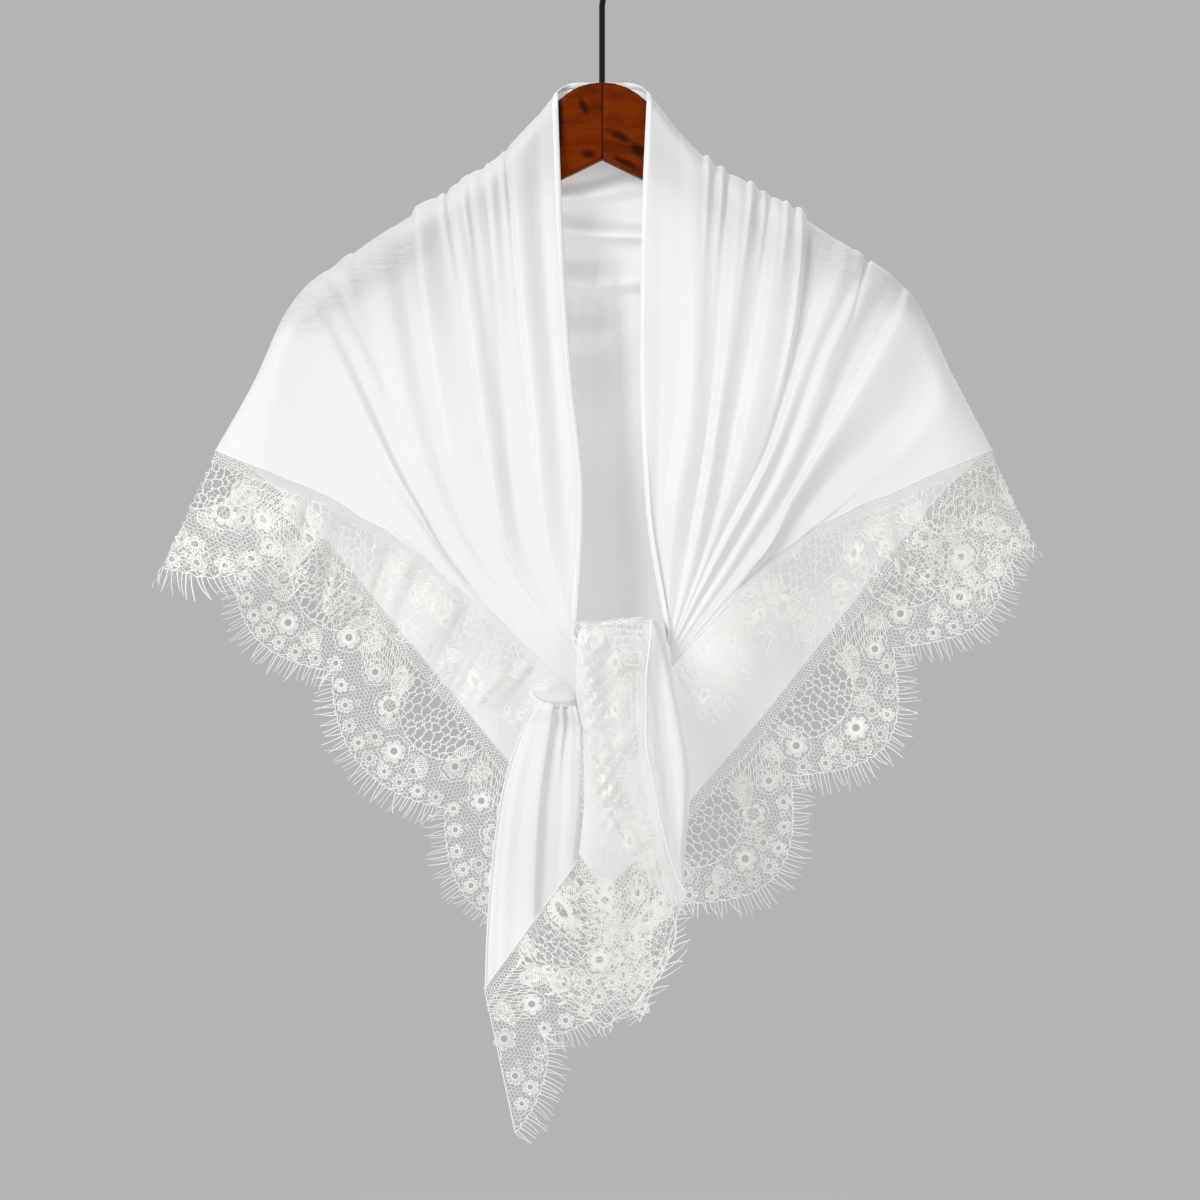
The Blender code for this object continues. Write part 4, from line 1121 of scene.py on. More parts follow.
# Short end that comes over the knot and falls in front: rows from behind the
# knot, over it and down.
OVER_TAIL = (
    # height   depth   left   right
    (-375.0,  -27.0,  -10.0,   35.0),
    (-366.5,  -34.0,  -11.0,   36.5),
    (-366.0,  -46.0,  -12.5,   38.0),
    (-378.0,  -55.0,  -16.5,   42.0),
    (-412.0,  -58.0,  -17.5,   50.0),
    (-440.0,  -58.0,  -12.0,   55.5),
    (-468.0,  -57.0,   -7.0,   59.0),
    (-500.0,  -56.0,    7.0,   57.5),
    (-520.0,  -55.0,   20.0,   55.0),
    (-545.0,  -54.0,   38.0,   54.5),
    (-560.0,  -53.5,   48.5,   51.5),
)

# Its pleats: share across at the knot and at the end, slope widths on the left
# and on the right, and rise.
OVER_PLEATS = (
    # knot   end     left    right   rises
    (0.20,   0.10,   0.16,   0.14,   2.0,  1.3),
    (0.50,   0.40,   0.12,   0.16,   2.0,  1.3),
    (0.74,   0.62,   0.025,  0.09,   3.2,  2.0),
    (0.90,   0.90,   0.08,   0.10,   2.4,  1.6),
)
OVER_CURL = 3.0             # how far its edges turn back
OVER_TILT = 3.2             # its right side stands higher where it comes over the knot
OVER_LEVEL = 0.45
OVER_TOP = -366.0
OVER_TILT_REACH = 12.0

# Seam of that end's lace: distance down it, place, direction in which the lace
# lies, in degrees from the right, and how far its pleats draw it together.
OVER_SEAM = (
    # along    x      depth   height   turn    drawn
    (0.0,     33.0,  -36.0,  -371.0,  180.0,  0.70),
    (8.0,     33.0,  -44.0,  -365.5,  180.0,  0.70),
    (16.0,    32.0,  -54.0,  -366.5,  180.0,  0.70),
    (28.0,    31.0,  -61.0,  -377.0,  180.0,  0.70),
    (60.0,    28.0,  -64.5,  -409.0,  182.0,  0.66),
    (92.0,    28.0,  -65.0,  -441.0,  183.0,  0.62),
    (125.0,   33.0,  -64.5,  -473.0,  186.0,  0.64),
    (160.0,   40.0,  -63.0,  -507.0,  194.0,  0.74),
    (185.0,   47.0,  -61.5,  -531.0,  203.0,  0.86),
    (204.0,   55.0,  -60.5,  -548.0,  207.0,  0.93),
    (280.0,   88.0,  -57.0,  -616.0,  207.0,  0.93),
)
OVER_SEAM_END = 204.0
SEAM_STEP = 2.0

# Lashes that stand up over the knot: first place, direction and length.
STRAYS = (
    # x      height   degrees  length
    (-2.0,  -368.0,   24.0,   10.0),
    (5.0,   -368.0,   36.0,   12.0),
    (12.0,  -367.0,   30.0,   11.0),
)
STRAY_DEPTH = -57.5
STRAY_THREAD = 0.34
STRAY_PITCH = 2.1
STRAYS_TOGETHER = 4
STRAY_SEED = 21
TAIL_SEED = 14

# The short end's lace.
OVER_NOTCH = 62.0
OVER_WIDTHS = (54.0, 72.0)  # at a notch and in the middle of a lobe
OVER_FOLD = 4.3             # out from the seam, per radian of the drawn lace's folds
OVER_FOLD_RISE = 3.6        # how far these folds reach forwards and aside
OVER_FOLD_ASIDE = 1.6
OVER_SLACK_REACH = 10.0     # they start over this width
OVER_FORWARD = 1.5          # the lace lies this far in front of its seam
CRUMPLE = 1.7               # small folds where the lace is pressed beside the knot
CRUMPLED = (
    # out    reach  along   reach
    (48.0,  14.0,   62.0,  30.0),
    (44.0,  12.0,  128.0,  22.0),
)
OVER_LASH = 0.30            # share of a lash that shows beside the knot
OVER_LASHES = (             # changes of that share down the seam
    # by     from   reach
    (0.70,  125.0,  60.0),
    (-0.45, 225.0,  40.0),
)
TIP_SLANT = 0.90            # the lace runs on past the end of its seam by this much of its width

# Long end that leaves the knot to the left, from its neck down: the hem side
# and the side under the lace, down to the slanting seam.
UNDER_TAIL = (
    # hem_x   hem_z   seam_x   seam_z   depth
    (-42.0,  -414.5,  -19.0,  -416.0,  -54.0),
    (-47.0,  -424.0,  -15.0,  -426.0,  -56.0),
    (-52.0,  -434.0,  -12.5,  -440.0,  -53.5),
    (-58.0,  -450.0,  -12.5,  -455.0,  -53.5),
    (-64.5,  -470.0,  -12.0,  -470.0,  -53.0),
    (-71.0,  -505.0,  -12.0,  -486.0,  -52.0),
    (-75.0,  -542.0,  -13.0,  -500.0,  -50.5),
    (-77.5,  -580.0,  -14.5,  -513.0,  -49.0),
    (-78.5,  -612.0,  -16.0,  -526.0,  -48.0),
)
UNDER_PLEATS = (
    # knot   end     left    right   rises
    (0.40,   0.52,   0.34,   0.095,  4.0,  5.5),
    (0.63,   0.74,   0.090,  0.040,  4.5,  0.0),
    (0.80,   0.88,   0.120,  0.200,  3.0,  2.6),
    (0.12,   0.20,   0.08,   0.14,   0.6,  2.2),
    (0.97,   0.98,   0.12,   0.05,   2.5,  1.0),
)
UNDER_CURL = 2.0
UNDER_BEHIND = 3.0          # the cloth and its lace lie this far behind the line above
UNDER_NOTCH = -1.0
UNDER_WIDTHS = (46.0, LACE_PEAK)
UNDER_WAVE = 3.5            # rise of the waves in its lace
UNDER_WAVE_REACH = 40.0

TAIL_ROWS = 110
TAIL_SHARES = np.linspace(0.0, 1.0, 72)[None, :]
TAIL_CHANGE = 1.7           # the pleats change to their lower rise faster than the tail runs down
TAIL_START = 8.0            # they start within an eighth of the tail
TAIL_EDGE = 14.0            # an edge turns back within a fourteenth of the width

# Gathered cloth inside the knot: rings from left to right.
KNOT_RINGS = (
    # along   height   half_tall   half_deep
    (-15.5,  -400.0,    9.0,        5.0),
    (-10.0,  -398.0,   17.0,        8.5),
    (0.0,    -397.0,   21.0,       10.0),
    (14.0,   -395.5,   22.5,       10.5),
    (28.0,   -392.0,   20.5,       10.0),
    (37.0,   -389.0,   15.0,        8.0),
    (42.0,   -388.0,    8.0,        5.0),
)
KNOT_END = 0.04             # to which its ends are narrowed, as a share
KNOT_FORWARD = 2.0          # in front of the ends of the fronts
KNOT_ROWS = 22
KNOT_AROUND = 72

# Wrap round the neck of the long end, from left to right.
NECK = (
    # x       y       z      half_tall
    (-47.0,  -42.0,  -412.0,  1.2),
    (-43.0,  -50.0,  -415.0,  2.8),
    (-33.0,  -53.5,  -418.0,  4.2),
    (-23.0,  -54.0,  -419.0,  4.4),
    (-12.0,  -49.0,  -417.0,  4.0),
)
NECK_DEEP = 0.42            # its depth, as a share of its height
NECK_STEPS = 40

# Hem round the neck and the seam that carries the lace: share across, share of
# the line that it turns towards, half width and half thickness.
HEMS = (
    # name         share  beside  half_width  half_thick
    ("neck_hem",   0.0,   0.02,   2.1,        0.75),
    ("lace_seam",  1.0,   0.985,  0.5,        1.0 / 2.6),
)
EDGE_STEPS = 300            # points of each line from the fold line to the knot or the middle
BAND_AROUND = 10
BAND_INSIDE = 0.8           # its middle lies inside the edge by this share of its half width
LINE_FLATNESS = 0.8

# Glue between the two arms: its reach in x, y and z, and the faces of a box.
GLUE = ((-0.45, 0.45), (-7.06, 7.06), (-52.0, -2.0))
BOX_QUADS = ((0, 1, 3, 2), (4, 6, 7, 5), (0, 4, 5, 1), (2, 3, 7, 6), (0, 2, 6, 4), (1, 5, 7, 3))


def rows_through(table, count):
    """Smooth curves through the columns of a table, against its row numbers."""
    at = np.linspace(0.0, len(table) - 1.0, count)[:, None]
    return [through(np.arange(len(table)), column, at) for column in zip(*table)]


def tail_grid(points, pleats, curl):
    """A tail's points with its pleats raised and its edges turned back."""
    part = np.linspace(0.0, 1.0, TAIL_ROWS)[:, None]
    rise = np.zeros(points.shape[:2])
    for knot, end, left, right, first, last in pleats:
        height = first + (last - first) * ease(part * TAIL_CHANGE)
        rise += height * ridge_shape(TAIL_SHARES, knot + (end - knot) * part, left, right)
    rise = rise * ease(part * TAIL_START)
    fine = 0.35 * np.sin(38.0 * TAIL_SHARES + 4.0 * np.sin(5.0 * part)) * ease(1.0 - 3.5 * part)
    turned = curl * (ease(TAIL_SHARES * TAIL_EDGE - (TAIL_EDGE - 1.0))
                     + ease(1.0 - TAIL_SHARES * TAIL_EDGE))
    points[..., 1] += turned - rise - fine
    return points


def over_tail_points():
    """Points of the short end, from behind the knot to its pointed end."""
    height, depth, left, right = rows_through(OVER_TAIL, TAIL_ROWS)
    x = left + (right - left) * TAIL_SHARES
    at_top = np.exp(-((height - OVER_TOP) / OVER_TILT_REACH) ** 2)
    tilt = OVER_TILT * (TAIL_SHARES - OVER_LEVEL) * at_top
    flat = np.stack([x, depth + 0.0 * x, height + tilt], axis=-1)
    return tail_grid(flat, OVER_PLEATS, OVER_CURL)


def under_tail_points():
    """Points of the long end, from the knot to its slanting seam."""
    hem_x, hem_z, seam_x, seam_z, depth = rows_through(UNDER_TAIL, TAIL_ROWS)
    flat = np.stack([hem_x + (seam_x - hem_x) * TAIL_SHARES,
                     depth + UNDER_BEHIND + 0.0 * TAIL_SHARES,
                     hem_z + (seam_z - hem_z) * TAIL_SHARES], axis=-1)
    return tail_grid(flat, UNDER_PLEATS, UNDER_CURL)


def over_place(along, out):
    """Place of the short end's lace, drawn into upright folds."""
    x, depth, height, turn, drawn = (smooth(OVER_SEAM, k, along) for k in range(1, 6))
    angle = np.radians(turn)
    folded = out / OVER_FOLD + 1.4 * np.sin(along / 23.0 + out / 19.0) + along / 26.0
    slack = (1.0 - drawn) * ease(out / OVER_SLACK_REACH)
    across = drawn * out + OVER_FOLD_ASIDE * slack * np.sin(folded + 1.3)
    y = depth - OVER_FORWARD - (OVER_FOLD_RISE * slack * np.sin(folded)
                                * (0.6 + 0.4 * np.sin(along / 13.0 + 1.0)))
    crumpled = sum(np.exp(-((out - far) / reach) ** 2 - ((along - near) / spread) ** 2)
                   for far, reach, near, spread in CRUMPLED)
    y -= CRUMPLE * crumpled * (np.sin(out / 1.9 + along / 3.1) + np.sin(along / 1.7 - out / 2.6))
    return np.stack([x + across * np.cos(angle), y, height + across * np.sin(angle)], axis=-1)


def under_place(along, out):
    """Place of the long end's lace, from the outer end of its seam inwards."""
    hem_x, hem_z, seam_x, seam_z, depth = UNDER_TAIL[-1]
    way = np.array([seam_x - hem_x, seam_z - hem_z])
    way = way / np.hypot(*way)
    x = hem_x + along * way[0] + out * way[1]
    z = hem_z + along * way[1] - out * way[0]
    wave = np.sin(along / 17.0 + out / 60.0) * ease(out / UNDER_WAVE_REACH)
    return np.stack([x, depth + UNDER_BEHIND - UNDER_WAVE * wave, z], axis=-1)


def tail_edge(widths, notch):
    """Scalloped width of a tail's lace: at a notch, and in the middle of a lobe."""
    def edge(along):
        part = ((along - notch) / SCALLOP_PITCH) % 1.0
        return widths[0] + (widths[1] - widths[0]) * np.sqrt(np.sin(math.pi * part))
    return edge


def over_lashes(along):
    """Share of a lash's length that shows down the short end."""
    return sum((change * rising(along, *where) for change, *where in OVER_LASHES), OVER_LASH)


def strays():
    """Lashes of the lace's covered edge that stand up over the knot."""
    draw = np.random.default_rng(STRAY_SEED)
    part = np.linspace(0.0, 1.0, LASH_POINTS)[:, None]
    points, quads = [], []
    for x, height, direction, length in STRAYS:
        for lash in range(STRAYS_TOGETHER):
            angle = math.radians(direction + draw.normal(0.0, 5.0))
            way = np.array([math.cos(angle), 0.0, math.sin(angle)])
            start = np.array([x + STRAY_PITCH * lash + draw.uniform(-0.5, 0.5),
                              STRAY_DEPTH - 0.4 * lash, height])
            path = start + way * length * draw.uniform(0.8, 1.15) * part
            path[:, 2] -= 2.0 * part[:, 0] ** 2
            half = STRAY_THREAD * (1.0 - 0.4 * part) * np.array([-way[2], 0.0, way[0]])
            quads.append(grid_quads(2, LASH_POINTS) + 2 * LASH_POINTS * len(points))
            points.append(np.concatenate([path - half, path + half]))
    return quad_mesh("lashes_knot", np.concatenate(points), np.concatenate(quads), smooth=False)


def knot_body(material):
    """Gathered cloth inside the knot and round the neck of its long end."""
    along, height, tall, deep = rows_through(KNOT_RINGS, KNOT_ROWS)
    turn = full_turn(KNOT_AROUND)[None, :]
    gather = (1.0 + 0.07 * np.cos(9.0 * turn + 0.06 * along)
              + 0.03 * np.cos(17.0 * turn - 0.1 * along))
    points = np.stack([along + 0.0 * turn,
                       -KNOT_DEPTH - KNOT_FORWARD + deep * gather * np.cos(turn),
                       height + tall * gather * np.sin(turn)], axis=-1)
    middles = points.mean(axis=1, keepdims=True)
    narrowed = middles + KNOT_END * (points - middles)
    body, neck = np.concatenate([narrowed[:1], points, narrowed[-1:]]), neck_of_knot()
    quads = np.concatenate([grid_quads(*body.shape[:2], around=True),
                            grid_quads(*neck.shape[:2], around=True) + body[..., 0].size])
    joined = np.concatenate([body.reshape(-1, 3), neck.reshape(-1, 3)])
    add_piece("cloth_knot", quad_mesh("cloth_knot", joined, quads), material, ["knot"])


def neck_of_knot():
    """Wrap of cloth that goes round the neck of the long end."""
    part = np.linspace(0.0, 1.0, NECK_STEPS)[:, None]
    turn = full_turn(NECK_STEPS)[None, :]
    keys = np.linspace(0.0, 1.0, len(NECK))
    x, y, z, tall = (through(keys, column, part) for column in zip(*NECK))
    crease = (1.0 + 0.12 * np.sin(5.0 * turn + 7.0 * part)
              + 0.06 * np.sin(11.0 * turn - 9.0 * part + 1.0))
    return np.stack([x + 0.0 * turn, y + NECK_DEEP * tall * crease * np.cos(turn),
                     z + tall * crease * np.sin(turn)], axis=-1)


def band_along(name, path, inward, half_width, half_thick, material):
    """Flattened tube along a path; inward points from the path into the cloth."""
    way = np.gradient(path, axis=0)
    way /= np.linalg.norm(way, axis=1)[:, None]
    inward = inward - way * np.sum(inward * way, axis=1)[:, None]
    inward /= np.linalg.norm(inward, axis=1)[:, None]
    up = np.cross(way, inward)
    turn = full_turn(BAND_AROUND)[None, :, None]
    points = (path[:, None] + inward[:, None] * half_width * (BAND_INSIDE + np.cos(turn))
              + up[:, None] * half_thick * np.sin(turn))
    quads = grid_quads(*points.shape[:2], around=True)
    add_piece(name, quad_mesh(name, points.reshape(-1, 3), quads), material)


def tails(cloth, rolled, thread, lash):
    """Both ends of the scarf below the knot, their lace and their lashes."""
    over, under = over_tail_points(), under_tail_points()
    add_cloth("cloth_tail_over", over, cloth, "tail_over")
    add_cloth("cloth_tail_under", under, cloth, "tail_under")
    line = np.arange(SEAM_STEP, OVER_SEAM_END, SEAM_STEP)
    seam = np.stack([smooth(OVER_SEAM, k, line) for k in (1, 2, 3)], axis=-1)
    for name, path, shift, radius, inward in (
            ("hem_tail_under", under[4:, 0], (0.0, -0.6, 0.0), 0.75, (1.0, 0.0, 0.0)),
            ("seam_tail_under", under[-1], (0.0, -0.8, 0.0), 0.7, (0.3, 0.0, 1.0)),
            ("seam_tail_over", seam, (0.4, -2.6, 0.0), 0.85, (1.0, 0.0, 0.0))):
        band_along(name, path + np.array(shift), np.array(inward), radius,
                   radius * LINE_FLATNESS, rolled)
    hem_x, hem_z, seam_x, seam_z, _ = UNDER_TAIL[-1]
    deep = TIP_SLANT * LACE_PEAK
    for name, lace, shown in (
            ("tail_over", Lace(over_place, 0.0, OVER_SEAM_END + deep,
                               tail_edge(OVER_WIDTHS, OVER_NOTCH), OVER_NOTCH, False,
                               (OVER_SEAM_END, TIP_SLANT)), over_lashes),
            ("tail_under", Lace(under_place, -deep, math.hypot(seam_x - hem_x, seam_z - hem_z),
                                tail_edge(UNDER_WIDTHS, UNDER_NOTCH), UNDER_NOTCH, True,
                                (0.0, -TIP_SLANT)), np.ones_like)):
        lace.show(name, lace.first, lace.last, TAIL_SEED, shown, thread, lash)
    add_piece("lashes_knot", strays(), lash)


def edge_path(share):
    """Line across the body at one share, from the knot round the back to the knot."""
    run, at = np.linspace(0.0, 1.0, EDGE_STEPS), np.full(EDGE_STEPS, share)
    left, right = (np.concatenate([front_point(side, at, run)[::-1], back_point(side, at, run)[1:]])
                   for side in (-1, 1))
    return np.concatenate([left, right[::-1][1:]])


def hems(material):
    """Turned hem round the neck and the rolled seam that carries the lace."""
    for name, share, beside, half_width, half_thick in HEMS:
        path = edge_path(share)
        band_along(name, path[::2], (edge_path(beside) - path)[::2], half_width, half_thick,
                   material)


def glue_line():
    """Dark line where the hanger's two arms meet."""
    corners = np.array([(x, y, z) for x in GLUE[0] for y in GLUE[1] for z in GLUE[2]])
    mesh = quad_mesh("glue_line", corners, BOX_QUADS, smooth=False)
    add_piece("glue_line", mesh, glue_material())


# Painted shade on the cloth where the hanger's arms lie behind it, and dark patches of the wood:
# middle x and z, half length, half height, turn in degrees.
ARM_SHADE_PATCHES = (
    (-150.0, -124.0, 46.0, 21.0, -33.0),
    (-196.0, -152.0, 34.0, 20.0, -30.0),
    (160.0, -123.0, 36.0, 19.0, 33.0),
    (202.0, -147.0, 34.0, 20.0, 33.0),
)
# violet grey and strength of the painted shade on the cloth over the arms
ARM_SHADE_COLOUR = (0.62, 0.59, 0.635)
ARM_SHADE_TINT = 0.62
WOOD_DARK_PATCHES = {
    -1: ((-9.5, -49.0, 5.5, 4.2, 5.0), (-12.5, -17.0, 3.2, 9.0, -25.0),
         (-29.0, -30.0, 3.0, 30.0, 0.0)),
    1: ((12.0, -37.0, 14.0, 3.6, 27.0), (25.0, -47.0, 10.0, 5.5, 35.0),
        (16.0, -55.0, 14.0, 3.0, 27.0)),
}
WOOD_PATCH_COLOUR = (0.012, 0.004, 0.001)
WOOD_PATCH_TINT = 0.82
ARM_SLOPE = 27.0            # degrees of the wood's grain from level
THREAD_THROUGH = 0.40       # share of light that threads let through
CLOTH_THROUGH = 0.33        # the same of one layer of cloth
ROLLED_THROUGH = 0.14       # and of a hem
MIX_FACTOR, MIX_FIRST, MIX_SECOND, MIX_RESULT = 0, 6, 7, 2      # sockets of a colour mix
ENDLESS = 1.0e3             # metres; an oval goes right through the part


def grey_of(value):
    """Grey colour of a value."""
    return value, value, value, 1.0


class Nodes:
    """Nodes of a material or of the world, made with their values and links."""

    def __init__(self, owner):
        self.owner = owner
        owner.use_nodes = True
        self.tree = owner.node_tree

    def give(self, made, **values):
        """Set or link inputs by name; a name that is no input is a setting."""
        for key, value in values.items():
            name = key.replace("_", " ")
            if name in made.inputs:
                self.feed(made.inputs[name], value)
            else:
                setattr(made, key, value)
        return made

    def feed(self, socket, value):
        """Link an output to a socket, or set the socket's value."""
        if isinstance(value, bpy.types.NodeSocket):
            self.tree.links.new(value, socket)
        else:
            socket.default_value = value

    def add(self, kind, *values, **named):
        """New node; values go to its inputs in order and named ones by name."""
        made = self.give(self.tree.nodes.new("ShaderNode" + kind), **named)
        for socket, value in zip(made.inputs, values):
            self.feed(socket, value)
        return made

    def place(self):
        """Point of the object itself, in metres."""
        return self.add("TexCoord").outputs["Object"]

    def noise(self, place, **named):
        """Grey noise."""
        return self.add("TexNoise", Vector=place, **named).outputs["Fac"]

    def calc(self, operation, *values):
        """Result of an operation on numbers."""
        return self.add("Math", *values, operation=operation).outputs["Value"]

    def length(self, place):
        """Distance of a point from the middle."""
        return self.add("VectorMath", place, operation="LENGTH").outputs["Value"]

    def ramp(self, value, *stops):
        """Colour ramp through (place, colour) stops; colours are grey or RGB."""
        made = self.add("ValToRGB", value)
        elements = made.color_ramp.elements
        while len(elements) < len(stops):
            elements.new(0.5)
        for element, (place, colour) in zip(elements, stops):
            element.position = place
            element.color = (*colour, 1.0) if isinstance(colour, tuple) else grey_of(colour)
        return made.outputs["Color"]

    def tinted(self, share, strength, base, other):
        """Base colour turned towards another one by a share."""
        mix = self.add("Mix", data_type="RGBA")
        self.feed(mix.inputs[MIX_FACTOR], self.calc("MULTIPLY", share, strength))
        self.feed(mix.inputs[MIX_FIRST], base)
        self.feed(mix.inputs[MIX_SECOND], (*other, 1.0))
        return mix.outputs[MIX_RESULT]

    def bump(self, height, strength, distance, **named):
        """Normal of a relief."""
        made = self.add("Bump", Height=height, Strength=strength, Distance=distance, **named)
        return made.outputs["Normal"]

    def surface(self, **named):
        """Give the material's own shader its values."""
        return self.give(self.tree.nodes["Principled BSDF"], **named).outputs["BSDF"]

    def show(self, shader, other, share):
        """End in a mix of two shaders, with a share of the second one."""
        kind = "World Output" if isinstance(self.owner, bpy.types.World) else "Material Output"
        mix = self.add("MixShader", share, shader, other)
        self.feed(self.tree.nodes[kind].inputs["Surface"], mix.outputs["Shader"])

    def let_light_through(self, colour, share):
        """Mix in light that comes through from behind."""
        behind = self.add("BsdfTranslucent", Color=colour).outputs["BSDF"]
        self.show(self.surface(), behind, share)

    def spots(self, place, rows, rough, scale):
        """Soft-edged ovals, 1 at their middles: centre x and z, half sizes and turn."""
        edge = self.noise(place, Scale=scale, Detail=3.0)
        total = None
        for x, z, half_long, half_tall, turn in rows:
            lay = self.add("Mapping", place, vector_type="TEXTURE",
                           Location=(x * MM, 0.0, (z - CROWN_DROP) * MM),
                           Rotation=(0.0, math.radians(turn), 0.0),
                           Scale=(half_long * MM, ENDLESS, half_tall * MM))
            frayed = self.calc("MULTIPLY_ADD", edge, rough, self.length(lay.outputs["Vector"]))
            shifted = self.calc("SUBTRACT", frayed, rough / 2.0)
            oval = self.ramp(shifted, (0.35, 1.0), (1.0, 0.0))
            total = oval if total is None else self.calc("MAXIMUM", total, oval)
        return total


def cloth_material(name, through):
    """Soft matte white knit with a faint weave, bumped creases over the hanger's arms and painted
    shade in them.
    """
    nodes = Nodes(bpy.data.materials.new(name))
    place = nodes.place()
    clouds = nodes.noise(place, Scale=9.0, Detail=4.0)
    tone = nodes.ramp(clouds, (0.3, (0.845, 0.845, 0.85)), (0.7, (0.885, 0.885, 0.885)))
    ribs = nodes.add("TexWave", Vector=place, Scale=520.0, Distortion=1.2, Detail=2.0,
                     Detail_Scale=3.0, bands_direction="X").outputs["Fac"]
    weave = nodes.calc("ADD", ribs, nodes.noise(place, Scale=900.0, Detail=3.0))
    streaks = nodes.add("Mapping", place, Scale=(60.0, 60.0, 330.0)).outputs["Vector"]
    crease = nodes.noise(streaks, Scale=1.0, Detail=4.0, Distortion=1.5)
    creases_and_shade = nodes.calc("MULTIPLY", crease, nodes.spots(place, ARM_SHADE_PATCHES, 0.9, 45.0))
    # painted shade: within the ovals over the arms the crease streaks turn the cloth's colour
    # towards a violet grey; the same streaks give real bumped creases
    colour = nodes.tinted(creases_and_shade, ARM_SHADE_TINT, tone, ARM_SHADE_COLOUR)
    folds = nodes.bump(creases_and_shade, 0.55, 0.0022)
    nodes.surface(Base_Color=colour, Normal=nodes.bump(weave, 0.16, 0.0004, Normal=folds),
                  Roughness=0.82, Specular_IOR_Level=0.3, Sheen_Weight=0.15, Sheen_Roughness=0.5)
    nodes.let_light_through(colour, through)
    return nodes.owner


def thread_material(name, colour, darker):
    """Off-white cotton thread with small changes of tone."""
    nodes = Nodes(bpy.data.materials.new(name))
    clouds = nodes.noise(nodes.place(), Scale=160.0, Detail=3.0)
    tone = nodes.ramp(clouds, (0.3, darker), (0.65, colour))
    nodes.surface(Base_Color=tone, Roughness=0.7, Sheen_Weight=0.1)
    nodes.let_light_through(tone, THREAD_THROUGH)
    return nodes.owner


def wood_material(side):
    """Red-brown varnished wood, its grain along one arm."""
    nodes = Nodes(bpy.data.materials.new("cherry_wood_" + side_name(side)))
    place = nodes.place()
    turned = nodes.add("Mapping", place, Rotation=(0.0, side * math.radians(ARM_SLOPE), 0.0),
                       Scale=(22.0, 60.0, 120.0)).outputs["Vector"]
    grain = nodes.noise(turned, Scale=1.0, Detail=6.0, Roughness=0.6, Distortion=0.6)
    tone = nodes.ramp(grain, (0.30, (0.068, 0.009, 0.0002)), (0.46, (0.124, 0.016, 0.0003)),
                      (0.60, (0.162, 0.023, 0.0003)), (0.76, (0.105, 0.013, 0.0002)))
    # dark patches painted into the wood's colour at the listed places
    dark = nodes.spots(place, WOOD_DARK_PATCHES[side], 0.55, 260.0)
    nodes.surface(Base_Color=nodes.tinted(dark, WOOD_PATCH_TINT, tone, WOOD_PATCH_COLOUR),
                  Normal=nodes.bump(grain, 0.12, 0.0004), Roughness=0.36, Specular_IOR_Level=0.03)
    return nodes.owner


def steel_material():
    """Black lacquered wire."""
    nodes = Nodes(bpy.data.materials.new("black_steel"))
    specks = nodes.noise(nodes.place(), Scale=700.0, Detail=3.0)
    nodes.surface(Base_Color=(0.004, 0.004, 0.005, 1.0), Specular_IOR_Level=0.25,
                  Roughness=nodes.ramp(specks, (0.3, 0.16), (0.7, 0.26)))
    return nodes.owner


def glue_material():
    """Dark glue between the two arms."""
    nodes = Nodes(bpy.data.materials.new("glue_line"))
    nodes.surface(Base_Color=(0.018, 0.005, 0.001, 1.0), Roughness=0.6, Specular_IOR_Level=0.03)
    return nodes.owner


def floor_material():
    """Pale floor that fades out towards its rim."""
    nodes = Nodes(bpy.data.materials.new("pale_floor"))
    level = nodes.add("VectorMath", nodes.place(), (1.0, 1.0, 0.0), operation="MULTIPLY")
    spread = nodes.calc("DIVIDE", nodes.length(level.outputs["Vector"]), FLOOR_RADIUS)
    pale = nodes.surface(Base_Color=grey_of(FLOOR_GREY), Roughness=0.9, Specular_IOR_Level=0.1)
    clear = nodes.add("BsdfTransparent").outputs["BSDF"]
    nodes.show(pale, clear, nodes.ramp(spread, (0.45, 0.0), (0.97, 1.0)))
    return nodes.owner


BACKDROP_GREY = 0.456
WORLD_LIGHT = 0.66
IMAGE_HEIGHT = 0.816        # metres of the garment's plane that the view takes in
VIEW_CENTRE = (-0.0014, -0.4656)
CAMERA_DISTANCE = 2.6
SENSOR = 36.0
FLOOR_HEIGHT = -1.05        # metres; the floor ends before it comes into the front view
FLOOR_RADIUS = 1.25
FLOOR_MIDDLE = 0.02         # of the radius, to the innermost ring of the floor
FLOOR_RINGS = 14
FLOOR_AROUND = 96
FLOOR_GREY = 0.42
AIM = (0.0, 0.0, -0.4)      # point that the lamps are turned towards
LAMPS = (
    # name    x     y     z    size  watts
    ("key",  -1.9, -2.1, 0.9,  1.2,  63.0),
    ("fill",  1.7, -1.9, 0.1,  1.4,  11.5),
    ("rim",   0.2,  1.8, 1.0,  1.2,  34.0),
)


def camera():
    """Level camera in front of the garment."""
    data = bpy.data.cameras.new("camera")
    data.sensor_width = SENSOR
    data.lens = SENSOR * CAMERA_DISTANCE / IMAGE_HEIGHT
    piece = put_in_scene(bpy.data.objects.new("camera", data))
    piece.location = (VIEW_CENTRE[0], -CAMERA_DISTANCE, VIEW_CENTRE[1])
    piece.rotation_euler = (math.pi / 2, 0.0, 0.0)
    bpy.context.scene.camera = piece


def lamp(name, x, y, z, size, power):
    """Square soft lamp turned towards the garment."""
    data = bpy.data.lights.new(name, "AREA")
    data.shape = "RECTANGLE"
    data.size = data.size_y = size
    data.energy = power
    piece = put_in_scene(bpy.data.objects.new(name, data))
    piece.location = (x, y, z)
    piece.rotation_euler = (Vector(AIM) - Vector((x, y, z))).to_track_quat("-Z", "Y").to_euler()


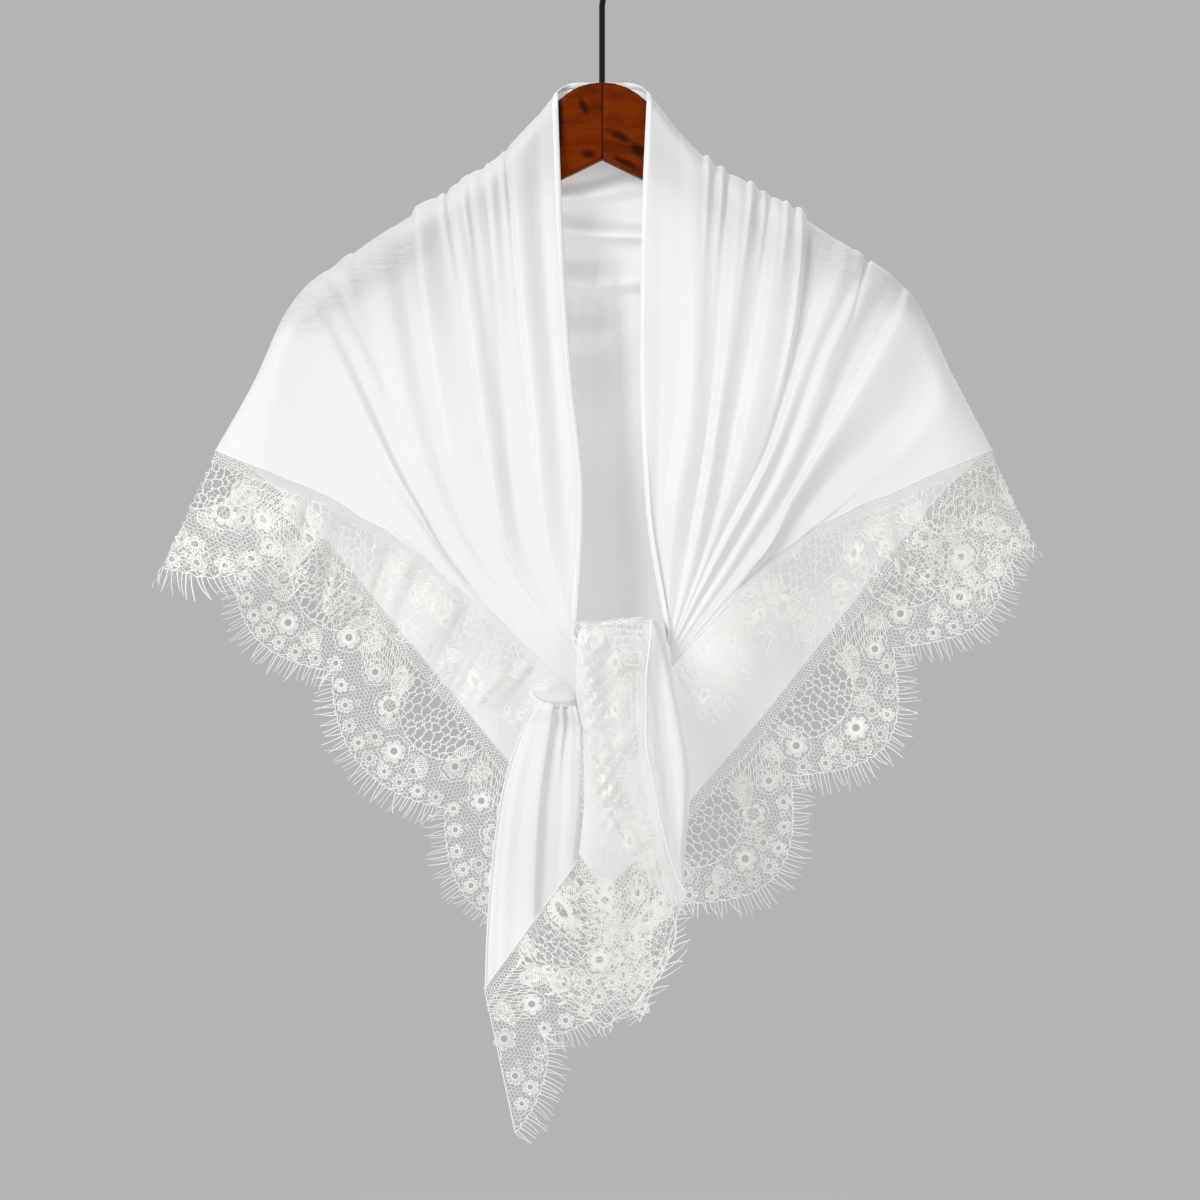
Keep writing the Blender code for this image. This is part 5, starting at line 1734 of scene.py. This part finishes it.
def world():
    """Even light, and a grey ground behind the garment for the camera."""
    bpy.context.scene.world = bpy.data.worlds.new("studio")
    nodes = Nodes(bpy.context.scene.world)
    nodes.tree.nodes.remove(nodes.tree.nodes["Background"])
    ray = nodes.add("LightPath").outputs
    seen = nodes.calc("MAXIMUM", ray["Is Camera Ray"], ray["Is Transmission Ray"])
    seen = nodes.calc("MAXIMUM", seen, ray["Is Glossy Ray"])
    light, ground = (nodes.add("Background", grey_of(grey), strength).outputs["Background"]
                     for grey, strength in ((1.0, WORLD_LIGHT), (BACKDROP_GREY, 1.0)))
    nodes.show(light, ground, seen)


def floor():
    """Round pale floor under the garment."""
    turn = full_turn(FLOOR_AROUND)
    rings = np.linspace(FLOOR_MIDDLE, 1.0, FLOOR_RINGS) * FLOOR_RADIUS
    points = np.stack([rings[:, None] * np.cos(turn), rings[:, None] * np.sin(turn),
                       np.full((len(rings), len(turn)), FLOOR_HEIGHT)], axis=-1)
    quads = grid_quads(len(rings), len(turn), around=True)
    mesh = bpy.data.meshes.new("floor")
    mesh.from_pydata(points.reshape(-1, 3).tolist(), [], [list(range(len(turn)))] + quads.tolist())
    mesh.materials.append(floor_material())
    put_in_scene(bpy.data.objects.new("floor", mesh))


def studio():
    """Camera, floor, lamps and view settings."""
    camera()
    world()
    floor()
    for row in LAMPS:
        lamp(*row)
    bpy.context.scene.view_settings.view_transform = "Standard"


studio()
cloth = cloth_material("white_cloth", CLOTH_THROUGH)
rolled = cloth_material("rolled_cloth", ROLLED_THROUGH)
thread = thread_material("lace_thread", (0.965, 0.96, 0.935), (0.92, 0.915, 0.88))
lash = thread_material("lash_thread", (0.97, 0.97, 0.95), (0.94, 0.935, 0.91))
for side in (-1, 1):
    front_panel(side, cloth)
back_panel(cloth)
for side in (-1, 1):
    ring_lace(side, thread, lash)
tails(cloth, rolled, thread, lash)
knot_body(cloth)
hems(rolled)
for side in (-1, 1):
    arm = frame["nodes"]["hanger_arm_" + side_name(side)]
    arm.material_slots[0].material = wood_material(side)
glue_line()
frame["nodes"]["hook"].material_slots[0].material = steel_material()
